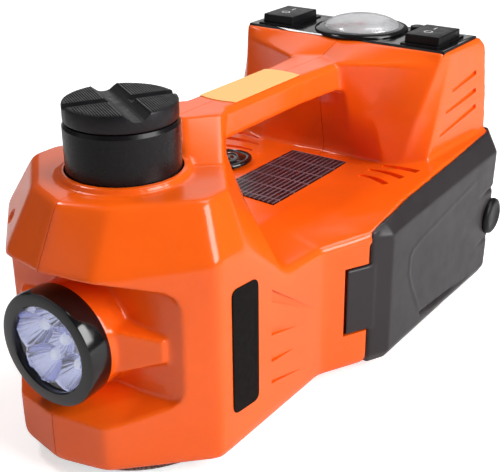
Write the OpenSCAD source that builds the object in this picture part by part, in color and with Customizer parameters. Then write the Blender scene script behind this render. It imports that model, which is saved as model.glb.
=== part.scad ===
// Electric hydraulic car jack with tyre inflator, pressure gauge and torch.
// Origin: on the floor under the ram axis. +Z up, torch towards -Y, storage cover towards +Y.

/* [Ram] */
// Outer radius of the jack cylinder
cylinder_r = 24.5; // [22:0.5:26]
// Wall of the jack cylinder
cylinder_wall = 1.9; // [1.5:0.1:2.5]
// Height of the top of the jack cylinder
cylinder_top = 146.8; // [140:0.2:160]
// Lift of each of the three ram stages
stage_travel = 98; // [60:1:98]
// Rod radius of the first ram stage
stage_1_r = 21; // [20:0.5:21]
// Rod radius of the second ram stage
stage_2_r = 16.5; // [15:0.5:17]
// Rod radius of the third ram stage
stage_3_r = 12; // [10:0.5:12.5]
// Height of the piston head at the foot of each stage
piston_h = 6; // [5:0.5:8]
// Radial play of a rod in its gland
run_fit = 0.05; // [0.02:0.01:0.08]

/* [Saddle] */
// Radius of the saddle
saddle_r = 24; // [20:0.5:26]
// Thickness of the saddle
saddle_h = 7.8; // [7:0.2:12]
// Width of the V groove for the sill seam
vee_w = 11.5; // [8:0.5:16]
// Depth of the V groove
vee_d = 5; // [3:0.5:6]
// Width of the cross groove
cross_w = 8.5; // [5:0.5:12]
// Depth of the cross groove
cross_d = 2.4; // [1:0.2:4]
// Pitch of the grip ribs
rib_pitch = 1.6; // [1.2:0.2:3]
// Turn of the V groove about the ram axis
vee_turn = -31; // [-90:1:90]

/* [Base] */
// Radius of the foot where it meets the floor
foot_r = 41; // [36:0.5:45]
// Radius of the foot at its shoulder
foot_shoulder_r = 48.5; // [46:0.5:50]
// Height of the foot
foot_h = 6; // [4:0.5:10]
// Radius of the cast boss that holds the cylinder
base_r = 40; // [34:0.5:41]
// Height of the top of the cast boss
base_top = 28; // [24:1:29]
// Radius of a rear rubber foot
rubber_r = 8; // [5:0.5:10]

/* [Housing] */
// Half width of the front body
body_w = 59; // [56:0.5:62]
// Half width of the rear body at the cover
rear_w = 77; // [74:0.5:80]
// Foremost point of the prow
prow_y = -54.5; // [-58:0.5:-53]
// Height of the bottom of the housing above the foot
under_gap = 0.2; // [0.1:0.1:0.5]
// Wall thickness of the mouldings
wall = 2.8; // [2:0.1:3.2]
// Height of the flat top of the front hood
hood_z = 123.4; // [121:0.2:128]
// Height of the deck under the handle
deck_z = 82; // [80:0.5:86]
// Height of the rim of the rear tower
tower_z = 141.6; // [139:0.2:146]
// Place along Y where the flare of the sides starts
flare_y = 65.4; // [62:0.2:70]
// Slope of the flare, sideways per unit of length
flare_k = 0.51; // [0.45:0.01:0.55]
// Gap between the housing and a part that moves beside it
part_gap = 0.3; // [0.2:0.05:0.4]

/* [Handle] */
// Half width of the handle
handle_w = 12.4; // [10:0.2:14]
// Height of the top of the handle
handle_z = 138; // [136:0.5:139]
// Depth of the handle from top to underside
handle_d = 14.7; // [12:0.1:16]
// Height that the handle's top edges are bevelled
handle_bevel = 2.2; // [1:0.2:4]

/* [Torch] */
// Height of the torch axis
torch_z = 62.4; // [61:0.2:64]
// Outer radius of the torch bezel
bezel_r = 25.6; // [24:0.2:26]
// Length of the torch bezel
bezel_l = 11.5; // [9:0.5:13]
// Clear radius of the torch lens
lens_r = 19.3; // [17:0.1:20]
// Place along Y of the rim of the torch bezel
bezel_y = -53.5; // [-55:0.5:-52]
// Number of lamps in the torch
led_count = 6; // [4:1:7]

/* [Control panel] */
// Thickness of the panel
panel_t = 2.8; // [2:0.2:4]
// Place along Y of the gauge axis
gauge_y = 201; // [198:0.5:203]
// Outer radius of the gauge bezel
gauge_r = 26; // [24:0.5:28]
// Radius of the gauge lens
gauge_lens_r = 22; // [20:0.5:23]
// Height of the dome of the gauge lens
gauge_dome_h = 6; // [3:0.5:8]
// Width of a rocker
rocker_w = 17.6; // [14:0.2:19]
// Length of a rocker
rocker_l = 29; // [24:0.5:32]
// Angle between the two positions of a rocker
rocker_swing = 16; // [8:1:20]
// Place along X of the rockers' middles
rocker_x = 45; // [40:0.5:47]
// Radius of the lamp button
button_r = 3.9; // [3:0.1:4]
// Travel of the lamp button
button_travel = 1.5; // [0.5:0.1:2]

/* [Storage cover] */
// Place along Y of the front edge of the cover
cover_y = 89.5; // [86:0.5:94]
// Rearmost point of the cover
cover_end = 228; // [226:0.5:234]
// Wall of the cover
cover_wall = 2.4; // [1.8:0.1:3]
// Length of the cover's push tab
tab_l = 12; // [8:0.5:14]
// Height of the lower edge of the push tab
tab_z = 28; // [22:0.5:34]
// Height of the push tab
tab_h = 34.5; // [24:0.5:40]
// Radius of a cover latch knob
knob_r = 11; // [8:0.5:12]
// Push of a cover latch knob
knob_travel = 2; // [1:0.1:2.5]

/* [Hidden] */

orange = "#F2561D";
black = "#1B1A1C";
cover_grey = "#4A4346";
steel = "#B9BCC0";
iron = "#4C4E50";
brass = "#B48A3C";

round_fn = 64;
small_fn = 24;
over = 1;

// ---- shared helpers ----

// Solid between rings of points that all have the same count, listed from the bottom ring up.
// Each ring is closed by a hub halfway between its ends, and the two end faces fan out from theirs.
module skin(outlines) {
    rings = [for (outline = outlines) concat(outline, [(outline[0] + outline[len(outline) - 1]) / 2])];
    n = len(rings[0]);
    last = len(rings) - 1;
    polyhedron(
        points = [for (ring = rings) each ring],
        faces = concat(
            [for (i = [0:n - 3]) [n - 1, i, i + 1]],
            [for (j = [0:last - 1], i = [0:n - 1])
                let (k = (i + 1) % n) each [
                    [j * n + i, (j + 1) * n + i, (j + 1) * n + k],
                    [j * n + i, (j + 1) * n + k, j * n + k]
                ]],
            [for (i = [0:n - 3]) [last * n + n - 1, last * n + i + 1, last * n + i]]
        )
    );
}

// A flat outline lifted to height z
function at_z(outline, z) = [for (p = outline) [p[0], p[1], z]];

// A flat outline with a height of its own at each point
function lifted(outline, heights) = [for (i = [0:len(outline) - 1]) [outline[i][0], outline[i][1], heights[i]]];

// A cross-section given as [x, z] pairs, set at y
function at_y(section, y) = [for (p = section) [p[0], y, p[1]]];

// Unit normal to the left of the edge from a to b
function left_of(a, b) = [a[1] - b[1], b[0] - a[0]] / norm(b - a);

// Where two lines, each given as a point and a direction, cross; in-line edges meet at the first one's end
function cross_at(p, u, q, v) =
    let (turn = u[0] * v[1] - u[1] * v[0])
    abs(turn) < 0.001 ? p + u : p + ((q[0] - p[0]) * v[1] - (q[1] - p[1]) * v[0]) / turn * u;

// Half outline from the middle line round to the middle line, moved inwards by t,
// with its two ends carried past the middle line so that a cavity opens there
function inset(chain, t) =
    let (
        n = len(chain),
        moved = [for (i = [0:n - 2]) chain[i] + t * left_of(chain[i], chain[i + 1])],
        way = [for (i = [0:n - 2]) chain[i + 1] - chain[i]]
    )
    [for (i = [0:n - 1])
        i == 0 ? cross_at(moved[0], way[0], [-over, 0], [0, 1])
        : i == n - 1 ? cross_at(moved[n - 2], way[n - 2], [-over, 0], [0, 1])
        : cross_at(moved[i - 1], way[i - 1], moved[i], way[i])
    ];

module along_x(r, from, to, fn = small_fn)
    translate([from, 0, 0]) rotate([0, 90, 0]) cylinder(r = r, h = to - from, $fn = fn);

module along_y(r, from, to, fn = round_fn)
    translate([0, from, 0]) rotate([-90, 0, 0]) cylinder(r = r, h = to - from, $fn = fn);

module ring(outer, inner, from, to)
    translate([0, 0, from]) difference() {
        cylinder(r = outer, h = to - from, $fn = round_fn);
        translate([0, 0, -over]) cylinder(r = inner, h = to - from + 2 * over, $fn = round_fn);
    }

module mirrored_x() {
    children();
    mirror([1, 0, 0]) children();
}

module on_side(side) {
    if (side > 0) children();
    else mirror([1, 0, 0]) children();
}

// ---- places worked out from the sizes ----

// walls of the hood and of the deck, a little over the general wall
hood_wall = wall + 0.2;
deck_wall = wall + 0.4;

bottom_z = foot_h + under_gap;
floor_z = bottom_z + wall;
edge_in = 3;
edge_up = 3.5;
waist_z = 76;

// ram: each stage stands 0.3 mm above the floor of the one outside it
stage_gap = 0.3;
stage_floor = 4;
socket_z = 20;
stage_1_z = socket_z + stage_floor;
stage_2_z = stage_1_z + stage_floor + stage_gap;
stage_3_z = stage_2_z + stage_floor + stage_gap;
stage_top = cylinder_top + 0.2;
bore_0 = cylinder_r - cylinder_wall;
head_room = 1.1;
bore_1 = stage_2_r + head_room;
bore_2 = stage_3_r + head_room;
port_r = 3;
spigot_r = 8;
spigot_l = 10;
saddle_z = stage_top + 0.2;
// underside of a gland that stops a piston after one stage of travel
function gland_z(stage_z) = stage_z + piston_h + stage_travel + stage_gap;

// front body outline, half, from the prow round to the bulkhead
facet_x = 24;
facet_y = prow_y + 5.5;
corner_y = facet_y + body_w - facet_x;
function flare_x(y) = body_w + flare_k * (y - flare_y);
flare_end_y = flare_y + (rear_w - body_w) / flare_k;
body_plan = [
    [0, prow_y], [facet_x, facet_y], [body_w, corner_y], [body_w, flare_y],
    [flare_x(cover_y), cover_y], [0, cover_y]
];

// hood: outline at the waist, with the heights of its upper edge, and the flat top
hood_plan = [
    [0, prow_y], [facet_x, facet_y], [body_w, corner_y], [body_w, 4.6], [body_w, 32.5], [26, 57], [0, 57]
];
hood_edge = [98, 97.6, 101, 99.5, 78.8, deck_z, deck_z];
hood_top = [[0, -40.7], [21.3, -32.6], [48, -6.1], [48, 8.3], [31, 29], [handle_w, 52.5], [0, 52.5]];
opening_r = cylinder_r + 0.8;
collar_r = opening_r + 2.4;
collar_h = 2.6;

// deck and shoulder: y, half width and height of the outer edge, half width and height of the flat middle
shoulder_w = 71;
cover_lip = 0.8;
shoulder_z = 73.5;
shoulder_low_w = 66.4;
deck_rows = [
    [30, body_w, 78.6, 23, deck_z],
    [flare_y, body_w, 76.5, 24.5, deck_z],
    [cover_y, flare_x(cover_y) - cover_lip - part_gap, 78.7, 27.5, deck_z],
    [flare_end_y, shoulder_w, 81.2, 29, deck_z],
    [122, shoulder_w, 85.4, 31, deck_z],
    [142, shoulder_w, 86.3, 31, deck_z + 1],
    [160, shoulder_w, 87, 30, deck_z + 6],
    [219, shoulder_w, 90.6, 30, deck_z + 7],
    [224.6, 66.9, 91, 30, deck_z + 8]
];

// bay for the stowed hose and lead, behind and beside the inner core
core_w = 46;
core_end = 190;
tray_w = 65;
tray_end = 221;

// rear tower: half outlines at rising heights
tower_rows = [
    [shoulder_z, [[0, 159], [19, 159], [48, 157.5], [65.8, 157], [66.8, 224.6], [0, 224.6]]],
    [91, [[0, 158], [19, 157], [48, 157.5], [66.4, 157], [66.8, 224.6], [0, 224.6]]],
    [112, [[0, 157], [18, 155.5], [31, 160.5], [64.3, 165], [66, 224.4], [0, 224.4]]],
    [handle_z, [[0, 160], [15, 150], [38, 164.5], [62.8, 176.5], [63.7, 223.8], [0, 223.8]]],
    [tower_z, [[0, 176], [15, 175.8], [38, 178.3], [62.2, 178.3], [62.7, 222.8], [0, 222.8]]]
];
rim = tower_rows[len(tower_rows) - 1][1];
mouth_wall = 2;
mouth_plan = [[0, 179], [15, 179], [38, 178.8], [62.2, 178.3], [62.7, 222.8], [0, 222.8]];
panel_top = tower_z + panel_t;
panel_face = [[0, 178.9], [20, 179], [42, 179.2], [60.5, 179], [60.5, 221.6], [0, 222.4]];

// torch
recess_w = 48;
recess_y = -27.6;
recess_floor = 39.5;
recess_roof = 86.8;
cup_r = 24.5;
cup_y = bezel_y + bezel_l;
socket_r = 22.4;
socket_y = recess_y - wall;
lens_t = 1.8;
lens_y = bezel_y + 2;
lens_fit = 0.1;
pocket_r = lens_r + 1.3;
spigot_end = cup_y + 5.7;
reflector_y = lens_y + lens_t + 0.1;
board_t = 1.6;
reflector_end = spigot_end - board_t - 0.1;

// screw posts: y, z, how far the mouth of the head's recess stands from the middle, height of the rib's far end
screw_rows = [
    [-30, 104, 37, hood_z],
    [74, 15, body_w, bottom_z],
    [150, 15, core_w, bottom_z],
    [39, 112, 27, hood_z],
    [214, 96, 66, shoulder_z]
];
screw_r = 1.75;
screw_head_r = 3.2;
screw_head_h = 2;
screw_bite = 12;
post_r = 4.2;
recess_r = 3.5;

// vents: slots in the tower's sides and curved slots in the deck
side_vents = [[189.5, 121, 213.6, 126.5], [185.8, 109.9, 215.7, 116.2], [181.2, 98.4, 217.9, 105.9]];
slot_h = 2.2;

// scalloped grips on the sides: lower and upper end at the front, then y and z of the point they run out to
scallops = [[68.5, 74.7, 59.9, 48.3], [51.8, 56.3, 46.1, 46.3], [38.3, 40.6, 43.7, 36.1], [27.2, 29.2, 50.1, 21.8]];
scallop_y = 23;
scallop_d = 1.5;

// ---- housing ----

// Lower part of the front body, as deep as the cover's front edge, drawn t inside its surface
module lower_body(t) skin([
    at_z(inset(body_plan, t + edge_in), bottom_z + t),
    at_z(inset(body_plan, t), bottom_z + t + edge_up),
    at_z(inset(body_plan, t), waist_z)
]);

// Hood round the ram: upright below the waist, sloping in to the flat top
module hood(t) skin([
    at_z(inset(hood_plan, t), waist_z - 2),
    lifted(inset(hood_plan, t), [for (h = hood_edge) h - t / 2]),
    at_z(inset(hood_top, t), hood_z - t)
]);

// Deck with its sloping edges, on a base at height low in the front body and at the shoulder behind it
module deck(low, t)
    let (last = len(deck_rows) - 1)
    skin([
        for (i = [last:-1:0]) let (r = deck_rows[i], z = r[0] < cover_y ? low : shoulder_z + t)
            at_y([
                [-over, z],
                [(r[0] < cover_y ? r[1] : shoulder_low_w) - t, z],
                [r[1] - t, max(r[2] - t, z + 0.5)],
                [r[3], r[4] - t],
                [-over, r[4] - t]
            ], r[0] - (i == last ? t + 0.2 : 0))
    ]);

module rear_tower() skin([for (row = tower_rows) at_z(inset(row[1], 0), row[0])]);

// Space inside the rear tower, open at the rim
module tower_space()
    let (low = tower_rows[0], rows = [for (i = [1:3]) tower_rows[i]], mouth = inset(mouth_plan, mouth_wall))
    skin(concat(
        [at_z(inset(low[1], wall), low[0] + wall)],
        [for (row = rows) at_z(inset(row[1], wall), row[0] - (row[0] == handle_z ? wall : 0))],
        [at_z(mouth, tower_z - wall), at_z(mouth, tower_z + over)]
    ));

// Handle bar, with its top edges bevelled, flaring into the rear tower
module handle_bar(t) skin([
    for (row = [[164, 18, -3], [150, 15, 0], [120, handle_w, 0], [46, handle_w, 0]])
        at_y([
            [-over, handle_z - handle_d + row[2] + t],
            [row[1] - t, handle_z - handle_d + row[2] + t],
            [row[1] - t, handle_z - handle_bevel - t],
            [row[1] - handle_bevel - t, handle_z - t],
            [-over, handle_z - t]
        ], row[0])
]);

// Wedge that carries the handle up from the flat of the hood
module handle_root(t)
    let (foot = [[0, 18.5], [18.7, 18.5], [30, 29.8], [handle_w + 4, 50], [0, 50]],
         crown = [[0, 34.8], [4.3, 34.8], [15.2, 48.8], [handle_w, 56], [0, 56]])
    skin([
        at_z(inset(foot, t), hood_z - wall - 1),
        at_z(inset(foot, t), hood_z),
        at_z(inset(crown, t), handle_z - t)
    ]);

// Recess that the torch stands in, open to the front, grown by t
module torch_recess(t) skin([
    for (row = [[recess_y + t, recess_floor, recess_roof, recess_w], [prow_y - 6, 29, 102.5, recess_w + 3]])
        at_y([
            [-over, row[1] - t], [row[3] + t, row[1] - t],
            [row[3] + t, row[2] + t], [-over, row[2] + t]
        ], row[0])
]);

// Stout wing each side of the torch cup
module torch_wing() skin([
    for (row = [[recess_y + over, 39.5, 55, 68], [cup_y + 2, 22, 50.6, 71.5]])
        at_y([[-over, row[2]], [row[1], row[2]], [row[1], row[3]], [-over, row[3]]], row[0])
]);

module torch_cup()
    translate([0, 0, torch_z]) along_y(cup_r, cup_y, recess_y + over);

module core(t)
    translate([-over, cover_y - wall - t, bottom_z + t])
        cube([core_w + over - t, core_end - cover_y + wall, shoulder_z - bottom_z - t + wall + over]);

// Tray under the stowed hose and lead
module tray()
    translate([0, cover_y - over, bottom_z]) cube([tray_w, tray_end - cover_y + over, wall]);

// Window in the flare that the cover's push tab lies in
module tab_window()
    translate([flare_x(cover_y - tab_l) - cover_wall - 2 * part_gap, cover_y - tab_l - part_gap, tab_z - part_gap])
        cube([rear_w, tab_l + over, tab_h + 2 * part_gap]);

// Round-ended slot cut through a side wall, from [y, z] to [y, z]
module side_slot(row)
    let (run = norm([row[2] - row[0], row[3] - row[1]]), lean = atan2(row[3] - row[1], row[2] - row[0]))
    translate([body_w, row[0], row[1]]) rotate([lean, 0, 0])
        translate([0, 0, -slot_h / 2]) cube([rear_w - body_w, run, slot_h]);

// Slot in the deck beside the tower
module deck_slot(y)
    translate([36, y, deck_z - 2 * over]) rotate([0, 0, -8])
        cube([18, slot_h, 12]);

// Wedge cut into the side: deep and upright at its front end, running out to a point
module scallop(row) skin([
    for (x = [body_w + over, body_w - scallop_d])
        [[x, scallop_y, row[0]], [max(x, body_w + over / 4), row[2], row[3]], [x, scallop_y, row[1]]]
]);

// Screw post with its rib, reaching from the seam to length l
module screw_post(row, l) {
    translate([0, row[0], row[1]]) along_x(post_r, -2 * over, l);
    translate([-2 * over, row[0] - wall / 2, min(row[1], row[3])])
        cube([l + 2 * over, wall, abs(row[3] - row[1])]);
}

module shell_outer() {
    lower_body(0);
    hood(0);
    deck(waist_z - 2, 0);
    rear_tower();
    core(0);
    tray();
    handle_bar(0);
    handle_root(0);
    translate([0, 0, hood_z - over]) cylinder(r = collar_r, h = collar_h + over, $fn = round_fn);
}

module shell_inner() {
    difference() {
        union() {
            lower_body(wall);
            hood(hood_wall);
        }
        torch_recess(wall);
    }
    deck(waist_z - 8, deck_wall);
    tower_space();
    core(wall);
    handle_bar(wall);
}

module half_space(side)
    translate([side > 0 ? 0 : -2 * rear_w, -rear_w, 0]) cube([2 * rear_w, 5 * rear_w, 3 * rear_w]);

// One half of the clamshell: side is 1 for the right half and -1 for the left half, which takes the screws
module housing_half(side) {
    difference() {
        union() {
            difference() {
                intersection() {
                    on_side(side) difference() {
                        shell_outer();
                        difference() {
                            shell_inner();
                            for (row = screw_rows) screw_post(row, side > 0 ? screw_bite + 2 : rear_w);
                            translate([board_w - 4, board_y, board_z - 3]) cube([2 * wall + 4, board_l, 3]);
                        }
                        torch_recess(0);
                    }
                    half_space(side);
                }
                on_side(side) {
                    tab_window();
                    for (row = side_vents) side_slot(row);
                    for (i = [0:2]) deck_slot(141 + 8 * i);
                    for (row = scallops) scallop(row);
                }
            }
            intersection() {
                union() {
                    torch_wing();
                    mirror([1, 0, 0]) torch_wing();
                    torch_cup();
                }
                half_space(side);
            }
        }
        // ram opening, foot hole, torch socket and screw holes
        translate([0, 0, hood_z - wall - over]) cylinder(r = opening_r, h = 4 * wall, $fn = round_fn);
        translate([0, 0, bottom_z - over]) cylinder(r = base_r + part_gap, h = wall + 2 * over, $fn = round_fn);
        translate([0, 0, torch_z]) along_y(socket_r, cup_y - over, socket_y);
        translate([0, 0, torch_z]) along_y(port_r, socket_y - over, recess_y + wall + over, small_fn);
        translate([port_x, 0, port_z]) along_y(port_neck_r + run_fit, crank_end, core_end + over, small_fn);
        translate([-port_x, 0, port_z]) along_y(gland_neck_r + run_fit, crank_end, core_end + over, small_fn);
        cap_place() cylinder(r = cap_r + part_gap, h = deck_z, $fn = round_fn);
        for (row = screw_rows) translate([0, row[0], row[1]]) {
            along_x(screw_r + run_fit, -row[2], screw_bite + part_gap);
            along_x(recess_r, -row[2] - 2 * wall, -row[2] + screw_head_h + wall);
        }
    }
}

module housing_right() color(orange) housing_half(1);

module housing_left() color(orange) housing_half(-1);

module housing_screws() color(steel)
    for (row = screw_rows) translate([0, row[0], row[1]]) {
        along_x(screw_r, -row[2] + screw_head_h + wall - over, screw_bite);
        along_x(screw_head_r, -row[2] + wall, -row[2] + screw_head_h + wall);
    }

module rear_feet() color(black)
    mirrored_x() translate([core_w - rubber_r, core_end - 2 * rubber_r, 0])
        cylinder(r = rubber_r, h = bottom_z, $fn = small_fn);

// ---- jack ----

module jack_base() color(iron) {
    difference() {
        union() {
            rotate_extrude($fn = round_fn) polygon([
                [0, 0], [foot_r, 0], [foot_r + 3.5, foot_h / 2], [foot_shoulder_r, foot_h],
                [base_r, foot_h], [base_r, base_top - edge_in], [base_r - edge_in, base_top], [0, base_top]
            ]);
            translate([-pump_w / 2, 0, floor_z + part_gap])
                cube([pump_w, pump_end, base_top - floor_z - part_gap]);
        }
        translate([0, 0, socket_z]) cylinder(r = cylinder_r + run_fit, h = base_top, $fn = round_fn);
    }
}

module jack_cylinder() color(black)
    rotate_extrude($fn = round_fn) polygon([
        [bore_0, socket_z], [cylinder_r, socket_z], [cylinder_r, cylinder_top - 1.6],
        [cylinder_r - 0.8, cylinder_top], [bore_0, cylinder_top]
    ]);

module cylinder_gland() color(steel)
    ring(bore_0, stage_1_r + run_fit, gland_z(stage_1_z), cylinder_top);

// Hollow ram stage: piston head at the foot, rod above it, and a gland inside its mouth for the next stage
module ram_stage(z, rod_r, head_r, bore_r, next_r, next_gland)
    rotate_extrude($fn = round_fn) polygon([
        [port_r, z], [head_r, z], [head_r, z + piston_h], [rod_r, z + piston_h],
        [rod_r, stage_top], [next_r + run_fit, stage_top], [next_r + run_fit, next_gland],
        [bore_r, next_gland], [bore_r, z + stage_floor], [port_r, z + stage_floor]
    ]);

module ram_stage_1() color(steel)
    ram_stage(stage_1_z, stage_1_r, bore_0 - run_fit, bore_1, stage_2_r, gland_z(stage_2_z));

module ram_stage_2() color(steel)
    ram_stage(stage_2_z, stage_2_r, bore_1 - run_fit, bore_2, stage_3_r, gland_z(stage_3_z));

module ram_stage_3() color(steel)
    rotate_extrude($fn = round_fn) polygon([
        [0, stage_3_z], [bore_2 - run_fit, stage_3_z], [bore_2 - run_fit, stage_3_z + piston_h],
        [stage_3_r, stage_3_z + piston_h], [stage_3_r, stage_top], [spigot_r, stage_top],
        [spigot_r, stage_top - spigot_l], [0, stage_top - spigot_l]
    ]);

// Saddle: V groove for the sill seam, cross groove, and ribs that run along the V groove
module saddle() color(black)
    let (top = saddle_z + saddle_h, ribs = floor((saddle_r - vee_w / 2 - rib_pitch) / rib_pitch))
    difference() {
        union() {
            rotate_extrude($fn = round_fn) polygon([
                [0, saddle_z], [saddle_r - 1, saddle_z], [saddle_r, saddle_z + 1],
                [saddle_r, top - 0.8], [saddle_r - 0.8, top], [0, top]
            ]);
            translate([0, 0, stage_top - spigot_l + stage_gap])
                cylinder(r = spigot_r - run_fit, h = spigot_l, $fn = round_fn);
        }
        rotate([0, 0, vee_turn]) {
            translate([-saddle_r - over, 0, top]) rotate([90, 0, 90])
                linear_extrude(2 * saddle_r + 2 * over)
                    polygon([
                        [-vee_w / 2 - 0.2, over], [-vee_w / 2 - 0.2, 0], [-1, -vee_d],
                        [1, -vee_d], [vee_w / 2 + 0.2, 0], [vee_w / 2 + 0.2, over]
                    ]);
            translate([-cross_w / 2, -saddle_r - over, top - cross_d])
                cube([cross_w, 2 * saddle_r + 2 * over, cross_d + over]);
            for (s = [-1, 1], i = [1:ribs])
                translate([-saddle_r, s * (vee_w / 2 + i * rib_pitch) - rib_pitch / 4, top - rib_pitch / 4])
                    cube([2 * saddle_r, rib_pitch / 2, rib_pitch]);
        }
    }

// ---- pump, on the base behind the cylinder ----

pump_w = 40;
pump_end = 62;
pump_y = cylinder_r + 2.5;
pump_top = 52;
axis_z = 42;
pump_x = -20;
pump_motor_r = 17;
gearbox_r = 20;
gearbox_end = pump_end + 22;
pump_motor_end = gearbox_end + 52;

module pump_block() color(steel)
    translate([-pump_w / 2, pump_y, base_top]) cube([pump_w, pump_end - pump_y, pump_top - base_top]);

module oil_tank() color(black)
    translate([-pump_w / 2, pump_y, pump_top]) difference() {
        cube([pump_w / 2, 20, 34]);
        translate([2, 2, 2]) cube([pump_w / 2 - 4, 16, 30]);
    }

module release_valve() color(brass)
    translate([pump_w / 4, pump_y + 12, pump_top]) {
        cylinder(r = 5, h = 6, $fn = small_fn);
        translate([0, 0, 6]) cylinder(r = 8, h = 22, $fn = small_fn);
    }

module pump_gearbox() color(iron)
    translate([pump_x, 0, axis_z]) {
        along_y(gearbox_r, pump_end, gearbox_end - 4);
        along_y(gearbox_r - 3, gearbox_end - 4, gearbox_end);
    }

module pump_motor() color(steel)
    translate([pump_x, 0, axis_z]) {
        along_y(pump_motor_r, gearbox_end, pump_motor_end);
        along_y(5, pump_motor_end, pump_motor_end + 3, small_fn);
    }

// ---- compressor, in the core beside the pump motor ----

air_x = 22;
air_motor_r = 15;
crank_y = 156;
crank_w = 30;
crank_end = 186;
crank_top = 58;
air_cylinder_r = 12;
air_axis_y = 174;
head_z = 88;
fin_count = 4;
fin_pitch = 3.5;

module compressor_crankcase() color(iron)
    translate([air_x - crank_w / 2, crank_y, floor_z]) cube([crank_w, crank_end - crank_y, crank_top - floor_z]);

module compressor_motor() color(steel)
    translate([air_x, 0, axis_z - 6]) {
        along_y(air_motor_r, 102, crank_y - 2);
        along_y(6, crank_y - 2, crank_y, small_fn);
    }

module compressor_cylinder() color(steel)
    translate([air_x, air_axis_y, crank_top]) {
        cylinder(r = air_cylinder_r - 2, h = head_z - crank_top, $fn = round_fn);
        for (i = [0:fin_count]) translate([0, 0, 4 + i * (fin_pitch + 2)])
            cylinder(r = air_cylinder_r, h = 1.4, $fn = round_fn);
    }

module compressor_head() color(brass)
    translate([air_x, air_axis_y, head_z]) {
        cylinder(r = air_cylinder_r, h = 9, $fn = round_fn);
        translate([0, 0, 5]) along_y(3, 0, air_cylinder_r + 6, small_fn);
    }

port_x = 22;
port_z = 30;
port_neck_r = 4;
gland_neck_r = 5;

// Outlet that the stowed hose screws to, in the back wall of the core
module hose_port() color(brass)
    translate([port_x, 0, port_z]) {
        along_y(port_neck_r, crank_end, core_end + 8, small_fn);
        along_y(6.5, core_end, core_end + 3, 6);
    }

// Gland of the supply lead, in the back wall of the core
module cord_gland() color(black)
    translate([-port_x, 0, port_z]) {
        along_y(7, core_end, core_end + 4, small_fn);
        along_y(gland_neck_r, core_end - wall - 3, core_end + 10, small_fn);
    }

// Circuit board under the control panel, resting on a ledge at each side, with three relays
board_w = 60.6;
board_y = 188;
board_l = 30;
board_z = 126;
relay = [14, 20, 7];

module control_board() color("#1F5A35") {
    difference() {
        translate([-board_w, board_y, board_z]) cube([2 * board_w, board_l, board_t]);
        translate([0, gauge_y, board_z - over]) cylinder(r = gauge_cup_r + 1, h = 4 * over, $fn = round_fn);
    }
    for (x = [-56, -40, 40]) translate([x, board_y + 4, board_z + board_t]) cube(relay);
}

// ---- torch ----

module about_torch() translate([0, 0, torch_z]) rotate([90, 0, 0]) children();

// Bezel with its pocket for the lens and the spigot that seats in the cup
module torch_bezel() color(black)
    about_torch() rotate_extrude($fn = round_fn) polygon([
        [lens_r, -bezel_y], [bezel_r - 0.8, -bezel_y], [bezel_r, -bezel_y - 0.8], [bezel_r - 0.4, -cup_y],
        [socket_r - lens_fit, -cup_y], [socket_r - lens_fit, -spigot_end], [pocket_r, -spigot_end],
        [pocket_r, -lens_y], [lens_r, -lens_y]
    ]);

module torch_lens() color("#DDE3FF", 0.5)
    translate([0, 0, torch_z]) along_y(pocket_r - lens_fit, lens_y, lens_y + lens_t);

// Centres of the lamps: a ring of them round one in the middle
function led_at(i) = i == 0 ? [0, 0] : let (a = 90 + i * 360 / (led_count - 1)) 11.8 * [cos(a), sin(a)];

cup_mouth_r = 7.6;
cup_throat_r = 2.9;

module torch_reflector() color("#D8DAE8")
    difference() {
        translate([0, 0, torch_z]) along_y(pocket_r - lens_fit, reflector_y, reflector_end);
        for (i = [0:led_count - 1]) let (c = led_at(i))
            translate([c[0], reflector_y - 0.01, torch_z + c[1]]) rotate([-90, 0, 0])
                cylinder(r1 = i == 0 ? cup_mouth_r - 1 : cup_mouth_r, r2 = cup_throat_r,
                    h = reflector_end - reflector_y + 0.02, $fn = small_fn);
    }

module torch_leds() color("#E9ECFF")
    for (i = [0:led_count - 1]) let (c = led_at(i))
        translate([c[0], 0, torch_z + c[1]]) {
            along_y(cup_throat_r - 0.3, reflector_end - 3, reflector_end, small_fn);
            translate([0, reflector_end - 3, 0]) sphere(r = cup_throat_r - 0.3, $fn = small_fn);
        }

module torch_board() color("#1F5A35")
    translate([0, 0, torch_z]) along_y(pocket_r - lens_fit, reflector_end, reflector_end + board_t);

// ---- control panel ----

rocker_z = panel_top - 1.2;
rocker_depth = 7;
trunnion_r = 1.5;
frame_w = 1.6;
frame_top = panel_top + 0.8;
frame_drop = 6;
lamp_at = [27.5, 215.3];
button_drop = 3;
button_proud = 2.2;
switch_w = 9;
gauge_cup_r = gauge_lens_r - 2.7;
lens_wall = 1.4;
dial_r = gauge_lens_r - lens_wall - 0.15;
dial_t = 0.8;
gauge_cup_z = tower_z - 26;
dial_z = panel_top + 0.6;
lens_base = panel_top + 2.4;
needle_zero = -135;

module rocker_hole(x, grow)
    translate([x - rocker_w / 2 - grow, gauge_y - 3.5 - rocker_l / 2 - grow, 0])
        cube([rocker_w + 2 * grow, rocker_l + 2 * grow, 2 * panel_top]);

// Faceted cover plate of the tower, with the gauge opening, two rocker openings and the lamp button's hole
module control_panel() color(black)
    difference() {
        mirrored_x() skin([at_z(inset(rim, 0), tower_z), at_z(inset(panel_face, 0), panel_top)]);
        translate([0, gauge_y, 0]) cylinder(r = gauge_cup_r + 0.2, h = 2 * panel_top, $fn = round_fn);
        for (s = [-1, 1]) rocker_hole(s * rocker_x, part_gap + frame_w);
        translate([lamp_at[0], lamp_at[1], 0]) cylinder(r = button_r + run_fit, h = 2 * panel_top, $fn = round_fn);
    }

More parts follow.
